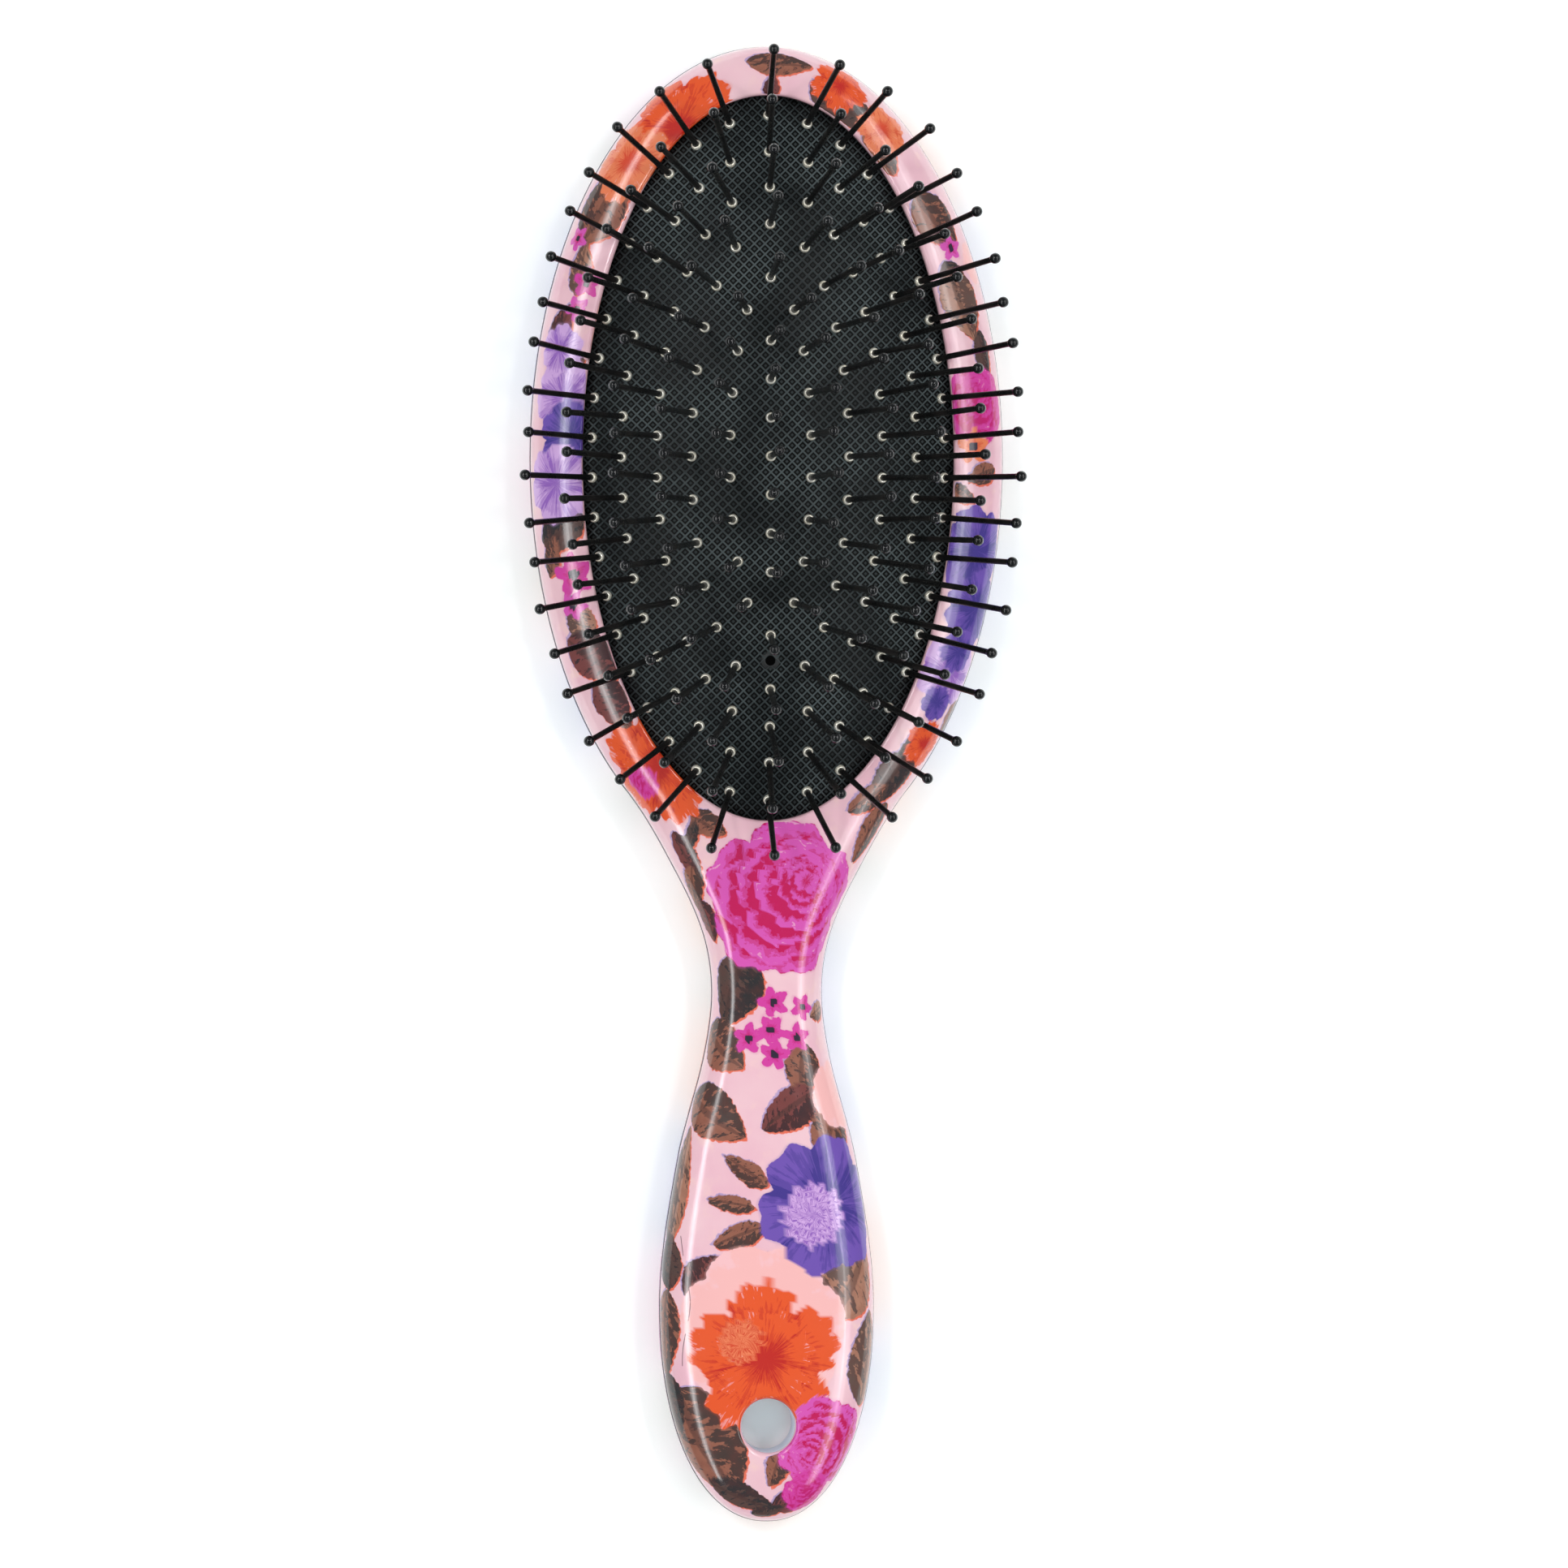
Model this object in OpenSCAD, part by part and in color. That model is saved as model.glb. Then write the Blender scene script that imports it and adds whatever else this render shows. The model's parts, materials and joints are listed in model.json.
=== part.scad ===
// Oval cushion hairbrush, lying on its back with the bristle pins up.
// +Z is up along the pins, +Y runs from the handle to the head.
// The origin is under the middle of the brush, on the surface it lies on.

/* [Body] */
// Overall length, from the end of the handle to the top of the head
body_length = 235; // [225:1:250]
// Height of the joint between the front and back shells
seam_z = 8; // [7.5:0.1:8.5]
// Thickness of both shells
wall = 2.2; // [1.8:0.1:2.4]

/* [Head] */
// Width of the head
head_w = 75.6; // [73:0.2:80]
// Length of the head's oval
head_l = 131.4; // [130:0.2:136]
// Height of the head's crown above the seam, if the opening were filled in
head_crown = 9.5; // [9:0.1:10.5]

/* [Handle] */
// Greatest width of the handle
handle_w = 34.4; // [30:0.2:38]
// Least width, at the neck
neck_w = 17.8; // [15:0.2:22]
// Length of the handle's rounded end
handle_end_l = 34.5; // [30:0.5:38]
// Height of the handle's crown above the seam
handle_crown = 7.2; // [6.8:0.1:8]

/* [Hanging hole] */
// Radius of the hole through the handle
hang_r = 4.35; // [3:0.05:4.8]
// Distance from the hole's centre to the end of the handle
hang_from_end = 15.5; // [14:0.5:18]

/* [Cushion] */
// Width of the oval opening for the cushion
opening_w = 59; // [57:0.2:60]
// Length of the oval opening
opening_l = 115; // [113:0.2:117]
// Height of the cushion's edge above the ground
cushion_edge_z = 12.6; // [12.2:0.1:12.6]
// Height of the dome above its edge
dome_h = 10; // [8:0.2:12]
// Thickness of the rubber
rubber_t = 1.5; // [1.2:0.1:1.8]
// Radius of the air vent in the cushion
vent_r = 0.8; // [0.5:0.1:1]

/* [Pins] */
// Length of a pin above the rubber, to the middle of its ball
pin_length = 20; // [16:0.5:24]
// Radius of the coated wire
wire_r = 0.475; // [0.3:0.025:0.5]
// Radius of the ball at the tip
ball_r = 0.87; // [0.7:0.01:1.1]
// Radius of the metal collar round a pin where it leaves the rubber
collar_r = 0.85; // [0.7:0.05:1]
// How far a pin may lean away from square to the rubber, in degrees
pin_scatter = 1.4; // [0:0.1:3]

/* [Hidden] */

$fn = 32;

// Pins stand on ovals: [how many, half-width, half-length], from the innermost out.
PIN_RINGS = [
    [18, 6.45, 28.3],
    [24, 12.5, 36.8],
    [30, 17.9, 42.7],
    [36, 23.4, 48.4],
    [42, 28.05, 54.3]
];
CENTRE_PINS = 7;
CENTRE_PITCH = 6.1;

head_y = body_length / 2 - head_l / 2;
handle_y = handle_end_l - body_length / 2;
hang_y = hang_from_end - body_length / 2;
opening_a = opening_w / 2;
opening_b = opening_l / 2;

// ---- Outline and height of the body along its length ----

// Where the head's oval passes into the neck
join_y = head_y - 52.8;
// Slope and half-width of the head's oval there
join_t = (join_y - head_y) / (head_l / 2);
join_w = head_w / 2 * sqrt(1 - join_t * join_t);
join_slope = -head_w / head_l * join_t / sqrt(1 - join_t * join_t);

// [y, half-width] from the head to the widest place of the handle
NECK_OUTLINE = [
    [join_y, join_w],
    [-14, 14.6 + (neck_w - 17.8) / 4],
    [-24, neck_w / 2 + 1.3],
    [-33, neck_w / 2],
    [-43, neck_w / 2 + 1.2],
    [-60, handle_w / 2 - 2.8],
    [handle_y, handle_w / 2]
];

// [y, height above the seam] of the front shell's crown
CROWN = [
    [head_y, head_crown],
    [31, head_crown - 0.2],
    [11, head_crown - 0.9],
    [0, head_crown - 1.8],
    [-6, head_crown - 2.5],
    [-18, handle_crown - 0.7],
    [-33, handle_crown - 1.3],
    [-55, handle_crown - 0.4],
    [handle_y, handle_crown]
];

// [y, depth below the seam] of the back shell, before its flat is cut
BELLY = [
    [head_y, 8.8],
    [11, 8.8],
    [-6, 8.2],
    [-33, 6.8],
    [-55, 7.8],
    [handle_y, 8.6]
];

// Slope of a curve at its point i, which is level at its ends unless told otherwise
function slope(c, i, first) =
    i == 0 ? first
    : i == len(c) - 1 ? 0
    : (c[i + 1][1] - c[i - 1][1]) / (c[i + 1][0] - c[i - 1][0]);

// Smooth curve through the points of c, which run downwards in y
function curve(c, y, first = 0, i = 0) =
    (i < len(c) - 2 && y < c[i + 1][0]) ? curve(c, y, first, i + 1)
    : let (
        h = c[i + 1][0] - c[i][0],
        t = (y - c[i][0]) / h
    )
    (1 + 2 * t) * (1 - t) * (1 - t) * c[i][1]
    + t * t * (3 - 2 * t) * c[i + 1][1]
    + t * (1 - t) * (1 - t) * h * slope(c, i, first)
    - t * t * (1 - t) * h * slope(c, i + 1, first);

// A rounded end: 1 in the middle of the oval, 0 at its tip
function round_end(t, p) = pow(max(0, 1 - pow(min(1, abs(t)), p)), 1 / p);

function along_head(y) = (y - head_y) / (head_l / 2);
function along_end(y) = (handle_y - y) / handle_end_l;

function half_width(y) =
    y > join_y ? head_w / 2 * round_end(along_head(y), 2)
    : y > handle_y ? curve(NECK_OUTLINE, y, join_slope)
    : handle_w / 2 * round_end(along_end(y), 2.15);

function height(c, y) =
    y > head_y ? c[0][1] * round_end(along_head(y), 3.2)
    : y > handle_y ? curve(c, y)
    : c[len(c) - 1][1] * round_end(along_end(y), 2.5);

// ---- Shells ----

HEAD_STEPS = 17;
MIDDLE_STEPS = 22;
END_STEPS = 8;
ARC_STEPS = 18;

// Stations along the body, closer together towards its two rounded ends
STATIONS = [
    for (i = [1:END_STEPS]) handle_y - handle_end_l * cos(90 * i / (END_STEPS + 1)),
    for (i = [0:MIDDLE_STEPS]) handle_y + (head_y - handle_y) * i / MIDDLE_STEPS,
    for (i = [1:HEAD_STEPS]) head_y + head_l / 2 * sin(90 * i / (HEAD_STEPS + 1))
];

// How much of a half-width or height is left inside a wall
function inside(v) = v * v / (v + wall);

// Half of a rounded section, from one edge of the seam over to the other
function arch(y, w, h, side, limit) = [
    for (j = [0:ARC_STEPS])
        let (
            t = 180 * j / ARC_STEPS,
            x = w * sign(cos(t)) * pow(abs(cos(t)), 0.8),
            z = h * pow(sin(t), 0.8)
        )
        [x, y, seam_z + side * min(z, limit)]
];

inner_scale = (body_length / 2 - wall) / (body_length / 2);

// Corner numbers of the faces of a skin of n arches between two end points
function skin_faces(n, base) =
    let (m = ARC_STEPS + 1, last = base + 1 + n * m)
    concat(
        [for (j = [0:m - 2]) [base, base + 1 + j, base + 2 + j]],
        [
            for (i = [0:n - 2], j = [0:m - 2], half = [0, 1])
                let (a = base + 1 + i * m + j, b = a + m)
                half == 0 ? [a, b, a + 1] : [a + 1, b, b + 1]
        ],
        [for (j = [0:m - 2]) [last, last - m + j + 1, last - m + j]]
    );

// Corner numbers down one edge of a skin, k being the arch's first or last point
function edge_points(n, base, k) =
    concat([base], [for (i = [0:n - 1]) base + 1 + i * (ARC_STEPS + 1) + k], [base + 1 + n * (ARC_STEPS + 1)]);

function seam_strip(outer, inner) = [
    for (i = [0:len(outer) - 2], half = [0, 1])
        half == 0 ? [outer[i], inner[i], outer[i + 1]] : [outer[i + 1], inner[i], inner[i + 1]]
];

function flip(faces) = [for (f = faces) [f[2], f[1], f[0]]];

// One half of the body as a closed shell: side is 1 for the front and -1 for the back
module half_shell(heights, side, floor_at) {
    tips = [-body_length / 2, body_length / 2];
    outer = [for (y = STATIONS) each arch(y, half_width(y), height(heights, y), side, 100)];
    inner = [
        for (y = STATIONS)
            each arch(y * inner_scale, inside(half_width(y)), inside(height(heights, y)), side, floor_at)
    ];
    n = len(STATIONS);
    outer_count = len(outer) + 2;
    points = concat(
        [[0, tips[0], seam_z]], outer, [[0, tips[1], seam_z]],
        [[0, tips[0] * inner_scale, seam_z]], inner, [[0, tips[1] * inner_scale, seam_z]]
    );
    walls = concat(
        skin_faces(n, 0),
        flip(skin_faces(n, outer_count)),
        seam_strip(edge_points(n, 0, 0), edge_points(n, outer_count, 0)),
        flip(seam_strip(edge_points(n, 0, ARC_STEPS), edge_points(n, outer_count, ARC_STEPS)))
    );
    polyhedron(points, side > 0 ? flip(walls) : walls, convexity = 6);
}

module oval(a, b) {
    scale([1, b / a]) circle(r = a, $fn = 96);
}

module head_prism(a, b, z, h) {
    translate([0, head_y, z]) linear_extrude(h) oval(a, b);
}

boss_r = hang_r + 2.1;
flare = 1;
front_boss_top = seam_z + handle_crown - 2;
back_boss_bottom = 1.5;
front_flare_z = front_boss_top + 0.4;
lip_under_z = cushion_edge_z + 0.3;

// Under the lip, the seat for the cushion is this much wider than the opening
seat_margin = 2.1;
seat_end_margin = 3.8;

// The lip's upper edge is rounded off in small steps, clear of the leaning outer pins
LIP_STEPS = 3;
lip_step = 0.2;
lip_step_z = seam_z + 0.663 * head_crown;

module front_shell() {
    color("pink") difference() {
        union() {
            half_shell(CROWN, 1, 100);
            translate([0, hang_y, seam_z]) cylinder(r = boss_r, h = front_boss_top - seam_z);
        }
        head_prism(opening_a, opening_b, seam_z - 1, 20);
        for (i = [1:LIP_STEPS])
            head_prism(opening_a + lip_step * i, opening_b + lip_step * i, lip_step_z + lip_step * 1.25 * (i - 1), 10);
        head_prism(opening_a + seat_margin, opening_b + seat_end_margin, seam_z - 1, lip_under_z - seam_z + 1);
        translate([0, hang_y, seam_z - 1]) cylinder(r = hang_r, h = 20, $fn = 64);
        translate([0, hang_y, front_flare_z]) cylinder(r1 = hang_r, r2 = hang_r + 2 * flare, h = 2 * flare, $fn = 64);
    }
}

POSTS = 10;
post_r = 1.6;
post_foot_z = 2.1;
ring_t = 1.6;
ring_top_z = cushion_edge_z - 3.7;

module back_shell() {
    color("pink") difference() {
        union() {
            half_shell(BELLY, -1, seam_z - wall);
            translate([0, hang_y, back_boss_bottom]) cylinder(r = boss_r, h = seam_z - back_boss_bottom);
            for (i = [0:POSTS - 1])
                let (t = 360 * (i + 0.5) / POSTS)
                translate([(opening_a + 0.3) * cos(t), head_y + (opening_b + 1) * sin(t), post_foot_z])
                    cylinder(r = post_r, h = ring_top_z - ring_t - post_foot_z);
        }
        translate([-100, -150, -20]) cube([200, 300, 20]);
        translate([0, hang_y, -1]) cylinder(r = hang_r, h = 20, $fn = 64);
        translate([0, hang_y, -flare]) cylinder(r1 = hang_r + 2 * flare, r2 = hang_r, h = 2 * flare, $fn = 64);
    }
}

// Holds the cushion's edge up against the lip of the front shell
module clamp_ring() {
    color("dimgray") difference() {
        head_prism(opening_a + 1.7, opening_b + 3.3, ring_top_z - ring_t, ring_t);
        head_prism(opening_a - 1, opening_b - 1, ring_top_z - ring_t - 1, ring_t + 2);
    }
}

// ---- Cushion ----

// Height of the rubber's outer face at x and at y from the middle of the head
function dome_z(x, y) =
    let (s = x / opening_a, t = y / opening_b)
    cushion_edge_z + dome_h * (1 - s * s - t * t) * (1 + dome_swell * t * t);

// The ends of the dome are fuller than an ellipsoid's by this share
dome_swell = 0.7;

// How steeply the dome rises along x and along y
function dome_slope(x, y) =
    let (s = x / opening_a, t = y / opening_b)
    [
        -2 * dome_h * s / opening_a * (1 + dome_swell * t * t),
        dome_h / opening_b * 2 * t * (dome_swell * (1 - s * s - t * t) - (1 + dome_swell * t * t))
    ];

DOME_RINGS = 9;
DOME_SECTORS = 48;
edge_reach = 1.055;
DOME_RADII = [for (i = [1:DOME_RINGS]) i / DOME_RINGS, edge_reach];

// One face of the rubber: a middle point and then rings of points round it
function dome_face(drop) = concat(
    [[0, head_y, dome_z(0, 0) - drop]],
    [
        for (r = DOME_RADII, k = [0:DOME_SECTORS - 1])
            let (
                x = opening_a * r * cos(360 * k / DOME_SECTORS),
                y = opening_b * r * sin(360 * k / DOME_SECTORS)
            )
            [x, head_y + y, drop > 0 && r >= 1 ? ring_top_z : dome_z(x, y) - drop]
    ]
);

function next(k) = (k + 1) % DOME_SECTORS;

function dome_faces(base) = concat(
    [for (k = [0:DOME_SECTORS - 1]) [base, base + 1 + k, base + 1 + next(k)]],
    [
        for (i = [0:len(DOME_RADII) - 2], k = [0:DOME_SECTORS - 1], half = [0, 1])
            let (p = base + 1 + i * DOME_SECTORS, q = p + DOME_SECTORS)
            half == 0 ? [p + k, q + k, p + next(k)] : [p + next(k), q + k, q + next(k)]
    ]
);

module rubber_skin() {
    upper = dome_face(0);
    lower = dome_face(rubber_t);
    n = len(upper);
    rim = n - DOME_SECTORS;
    sides = [
        for (k = [0:DOME_SECTORS - 1], half = [0, 1])
            half == 0 ? [rim + k, rim + n + k, rim + next(k)] : [rim + next(k), rim + n + k, rim + n + next(k)]
    ];
    polyhedron(concat(upper, lower), flip(concat(dome_faces(0), flip(dome_faces(n)), sides)), convexity = 6);
}

bore_clearance = 0.1;
vent_y = head_y - 32.3;

module cushion_pad() {
    color("black") difference() {
        rubber_skin();
        for (g = [0:len(PIN_RINGS)], p = group_pins(g))
            at_pin(p) translate([0, 0, -4]) cylinder(r = collar_r + bore_clearance, h = 7);
        translate([0, vent_y, cushion_edge_z]) cylinder(r = vent_r, h = 2 * dome_h);
    }
}

// ---- Pins ----

OVAL_STEPS = 360;

// Length round an oval up to each degree, counted from its top
function oval_lengths(a, b) = [
    for (
        k = 0, s = 0;
        k <= OVAL_STEPS;
        s = s + norm([a * (sin(k + 1) - sin(k)), b * (cos(k + 1) - cos(k))]), k = k + 1
    )
    [s, k]
];

// Places of count pins spread evenly round an oval, the first at its top
function ring_places(count, a, b) =
    let (lengths = oval_lengths(a, b), total = lengths[OVAL_STEPS][0])
    [
        for (i = [0:count - 1])
            let (t = lookup(total * i / count, lengths))
            [a * sin(t), b * cos(t)]
    ];

function centre_places() = [for (i = [0:CENTRE_PINS - 1]) [0, CENTRE_PITCH * (i - (CENTRE_PINS - 1) / 2)]];

// A pin is [x, y from the middle of the head, lean along x, lean along y]: square to the rubber, give or take
function pin_at(p, i) =
    let (s = dome_slope(p[0], p[1]), k = tan(pin_scatter))
    [p[0], p[1], k * sin(137.5 * i) - s[0], k * cos(222.5 * i) - s[1]];

// Pins of a group: 0 is the centre row and 1 to 5 are the rings, from the innermost out
function group_pins(g) =
    let (places = g == 0 ? centre_places() : ring_places(PIN_RINGS[g - 1][0], PIN_RINGS[g - 1][1], PIN_RINGS[g - 1][2]))
    [for (i = [0:len(places) - 1]) pin_at(places[i], i + 11 * g)];

// Places a pin's parts with their Z along the pin and their origin on the rubber
module at_pin(p) {
    translate([p[0], head_y + p[1], dome_z(p[0], p[1])])
        rotate([0, atan(norm([p[2], p[3]])), atan2(p[3], p[2])])
        children();
}

anchor_r = 1.1;
anchor_z = -3;
anchor_t = 0.5;
collar_foot_z = anchor_z + anchor_t + 0.2;
collar_top_z = 0.45;

// Coated wires, each with the flat head that anchors it behind the rubber
module pin_wires(g) {
    color("#222222") for (p = group_pins(g))
        at_pin(p) rotate_extrude() polygon([
            [0, anchor_z], [anchor_r, anchor_z], [anchor_r, anchor_z + anchor_t],
            [wire_r, collar_foot_z], [wire_r, pin_length], [0, pin_length]
        ]);
}

// Metal collars that line the holes in the rubber
module pin_collars(g) {
    color("silver") for (p = group_pins(g))
        at_pin(p) rotate_extrude() polygon([
            [wire_r, collar_foot_z], [collar_r, collar_foot_z], [collar_r, collar_top_z - 0.3],
            [collar_r - 0.12, collar_top_z - 0.1], [collar_r - 0.35, collar_top_z], [wire_r, collar_top_z]
        ]);
}

// Balls that keep the wires' ends off the scalp
module ball_tips(g) {
    color("black") for (p = group_pins(g))
        at_pin(p) difference() {
            translate([0, 0, pin_length]) sphere(r = ball_r);
            translate([0, 0, pin_length - 2]) cylinder(r = wire_r, h = 2);
        }
}

front_shell();
back_shell();
cushion_pad();
clamp_ring();
pin_wires(0);  // pin_wires_centre
pin_collars(0);  // pin_collars_centre
ball_tips(0);  // ball_tips_centre
pin_wires(1);  // pin_wires_ring_1
pin_collars(1);  // pin_collars_ring_1
ball_tips(1);  // ball_tips_ring_1
pin_wires(2);  // pin_wires_ring_2
pin_collars(2);  // pin_collars_ring_2
ball_tips(2);  // ball_tips_ring_2
pin_wires(3);  // pin_wires_ring_3
pin_collars(3);  // pin_collars_ring_3
ball_tips(3);  // ball_tips_ring_3
pin_wires(4);  // pin_wires_ring_4
pin_collars(4);  // pin_collars_ring_4
ball_tips(4);  // ball_tips_ring_4
pin_wires(5);  // pin_wires_ring_5
pin_collars(5);  // pin_collars_ring_5
ball_tips(5);  // ball_tips_ring_5
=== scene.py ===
"""Oval cushion hairbrush: a printed body in two shells, a textured rubber cushion and ball-tipped pins.

Lengths here are in millimetres, and they become metres only where a mesh is made.
"""

import json
import math

import bpy
import numpy as np
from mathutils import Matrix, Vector

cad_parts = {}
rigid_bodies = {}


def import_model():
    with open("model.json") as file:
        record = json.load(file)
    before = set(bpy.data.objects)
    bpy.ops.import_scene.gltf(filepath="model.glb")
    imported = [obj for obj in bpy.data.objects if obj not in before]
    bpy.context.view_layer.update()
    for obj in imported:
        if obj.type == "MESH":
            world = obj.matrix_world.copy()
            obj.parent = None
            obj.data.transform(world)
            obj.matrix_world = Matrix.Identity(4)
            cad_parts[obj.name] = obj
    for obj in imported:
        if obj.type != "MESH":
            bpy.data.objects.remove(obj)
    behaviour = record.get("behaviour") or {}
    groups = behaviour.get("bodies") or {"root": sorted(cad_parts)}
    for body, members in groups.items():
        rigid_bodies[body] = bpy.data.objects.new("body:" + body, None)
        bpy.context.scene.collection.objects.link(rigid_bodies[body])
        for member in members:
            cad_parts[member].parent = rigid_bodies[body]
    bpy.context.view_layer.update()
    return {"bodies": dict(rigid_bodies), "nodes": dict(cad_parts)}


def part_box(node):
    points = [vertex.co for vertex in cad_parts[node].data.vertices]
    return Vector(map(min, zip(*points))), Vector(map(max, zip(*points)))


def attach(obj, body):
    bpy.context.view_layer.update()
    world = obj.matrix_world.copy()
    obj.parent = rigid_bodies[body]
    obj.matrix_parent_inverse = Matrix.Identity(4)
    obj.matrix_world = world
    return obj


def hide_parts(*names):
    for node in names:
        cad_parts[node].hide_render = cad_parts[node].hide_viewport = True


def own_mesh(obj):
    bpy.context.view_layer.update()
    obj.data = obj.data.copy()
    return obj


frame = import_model()
MM = 0.001

# ---- Shape of the body, as the CAD has it ----

FRONT_LOW, FRONT_HIGH = (np.array(p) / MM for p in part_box("front_shell"))
PAD_LOW, PAD_HIGH = (np.array(p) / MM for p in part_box("cushion_pad"))
END_Y, TOP_Y = FRONT_LOW[1], FRONT_HIGH[1]
SEAM_Z = FRONT_LOW[2]
HEAD_A = FRONT_HIGH[0]
HEAD_B = 65.7
HEAD_Y = TOP_Y - HEAD_B
HANDLE_A = 17.2
HANDLE_END = 34.5
HANDLE_Y = END_Y + HANDLE_END
HANG_Y = END_Y + 15.5
HANG_R = 4.35
OPENING_A, OPENING_B = 29.5, 57.5
DOME_H = 10.0
DOME_SWELL = 0.7
EDGE_Z = PAD_HIGH[2] - DOME_H
JOIN_Y = HEAD_Y - 52.8
WALL = 2.2
PIN_LENGTH = 20.0
# Powers of the rounded ends and sections: 2 gives an ellipse, and more is squarer
OUTLINE_END_POWER = 2.15
HEAD_POWER, END_POWER, SECTION_POWER = 3.2, 2.5, 2.5

# [y, half-width] of the neck, [y, height] of the front and [y, depth] of the back
NECK_OUTLINE = [(-14, 14.6), (-24, 10.2), (-33, 8.9), (-43, 10.1), (-60, 14.4), (HANDLE_Y, HANDLE_A)]
CROWN = [
    (HEAD_Y, 9.5), (31, 9.3), (11, 8.6), (0, 7.7), (-6, 7.0),
    (-18, 6.5), (-33, 5.9), (-55, 6.8), (HANDLE_Y, 7.2),
]
BELLY = [(HEAD_Y, 8.8), (11, 8.8), (-6, 8.2), (-33, 6.8), (-55, 7.8), (HANDLE_Y, 8.6)]


def curve(points, y, first=0.0):
    """Smooth curve through points that run downwards in y, with a given slope at the first one."""
    px = np.array([p[0] for p in points], float)
    py = np.array([p[1] for p in points], float)
    slopes = np.zeros(len(px))
    slopes[0] = first
    slopes[1:-1] = (py[2:] - py[:-2]) / (px[2:] - px[:-2])
    y = np.clip(y, px[-1], px[0])
    i = np.clip(np.searchsorted(-px, -y, side="right") - 1, 0, len(px) - 2)
    h = px[i + 1] - px[i]
    t = (y - px[i]) / h
    return (
        (1 + 2 * t) * (1 - t) ** 2 * py[i]
        + t * t * (3 - 2 * t) * py[i + 1]
        + t * (1 - t) ** 2 * h * slopes[i]
        - t * t * (1 - t) * h * slopes[i + 1]
    )


def round_end(t, p):
    """Falls from 1 at t = 0 to 0 at t = 1."""
    return np.clip(1 - np.clip(np.abs(t), 0, 1) ** p, 0, 1) ** (1 / p)


JOIN_T = (JOIN_Y - HEAD_Y) / HEAD_B
JOIN_W = HEAD_A * math.sqrt(1 - JOIN_T**2)
JOIN_SLOPE = -HEAD_A / HEAD_B * JOIN_T / math.sqrt(1 - JOIN_T**2)


def half_width(y):
    y = np.asarray(y, float)
    neck = curve([(JOIN_Y, JOIN_W), *NECK_OUTLINE], y, JOIN_SLOPE)
    head = HEAD_A * round_end((y - HEAD_Y) / HEAD_B, 2)
    end = HANDLE_A * round_end((HANDLE_Y - y) / HANDLE_END, OUTLINE_END_POWER)
    return np.where(y > JOIN_Y, head, np.where(y > HANDLE_Y, neck, end))


def height(points, y):
    """Height of a section at its middle."""
    y = np.asarray(y, float)
    head = points[0][1] * round_end((y - HEAD_Y) / HEAD_B, HEAD_POWER)
    end = points[-1][1] * round_end((HANDLE_Y - y) / HANDLE_END, END_POWER)
    return np.where(y > HEAD_Y, head, np.where(y > HANDLE_Y, curve(points, y), end))


def arch(points, x, y):
    """Height above the seam (or depth below it) of the body's rounded section at x, y."""
    w = np.maximum(half_width(y), 1e-6)
    return height(points, y) * round_end(np.abs(x) / w, SECTION_POWER)


def front_z(x, y):
    return SEAM_Z + arch(CROWN, x, y)


def back_z(x, y):
    """The underside, which is flat where it lies on the table, with a softened edge to the flat."""
    z = SEAM_Z - arch(BELLY, x, y)
    soft = 0.3
    return np.minimum(SEAM_Z, (z + np.sqrt(z * z + soft * soft)) / 2)


def dome_z(x, y):
    """Top of the rubber dome, a little fuller towards its two ends."""
    s, t = x / OPENING_A, (y - HEAD_Y) / OPENING_B
    return EDGE_Z + DOME_H * (1 - s * s - t * t) * (1 + DOME_SWELL * t * t)


# ---- Mesh building ----


class Patchwork:
    """Collects grids of points in millimetres and welds them into one mesh."""

    def __init__(self):
        self.points, self.quads, self.kinds, self.count = [], [], [], 0

    def add(self, points, quads, kind=0):
        self.points.append(np.asarray(points, float).reshape(-1, 3))
        quads = np.asarray(quads, int).reshape(-1, 4) + self.count
        self.quads.append(quads)
        self.kinds.append(np.full(len(quads), kind))
        self.count += len(self.points[-1])

    def grid(self, points, kind=0, closed=False, flip=False):
        """points has rows and columns; closed joins the last column to the first."""
        rows, columns = points.shape[:2]
        a = np.arange(rows * columns).reshape(rows, columns)
        b = np.concatenate([a, a[:, :1]], 1) if closed else a
        q = np.stack([b[:-1, :-1], b[1:, :-1], b[1:, 1:], b[:-1, 1:]], -1).reshape(-1, 4)
        self.add(points, q[:, ::-1] if flip else q, kind)

    def welded(self):
        points = np.concatenate(self.points)
        quads = np.concatenate(self.quads)
        kinds = np.concatenate(self.kinds)
        _, first, back = np.unique(np.round(points, 4), axis=0, return_index=True, return_inverse=True)
        return points[first], back.reshape(-1)[quads], kinds


def face_lists(quads):
    """Faces without repeated corners, and which of them are left."""
    faces, kept = [], []
    for i, q in enumerate(quads.tolist()):
        f = list(dict.fromkeys(q))
        if len(f) > 2:
            faces.append(f)
            kept.append(i)
    return faces, np.array(kept, int)


def vertex_normals(points, quads):
    a, b, c, d = (points[quads[:, i]] for i in range(4))
    n = np.cross(c - a, d - b)
    total = np.zeros_like(points)
    for i in range(4):
        np.add.at(total, quads[:, i], n)
    return total / np.maximum(np.linalg.norm(total, axis=1, keepdims=True), 1e-12)


def in_scene(name, data):
    obj = bpy.data.objects.new(name, data)
    bpy.context.scene.collection.objects.link(obj)
    return obj


def mesh_object(name, points, faces, materials, kinds, sharp):
    mesh = bpy.data.meshes.new(name)
    mesh.from_pydata((np.asarray(points) * MM).tolist(), [], faces)
    for m in materials:
        mesh.materials.append(m)
    mesh.polygons.foreach_set("material_index", np.asarray(kinds, np.int32))
    mesh.validate()
    mesh.shade_smooth()
    mesh.set_sharp_from_angle(angle=math.radians(sharp))
    return in_scene(name, mesh)


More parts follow.
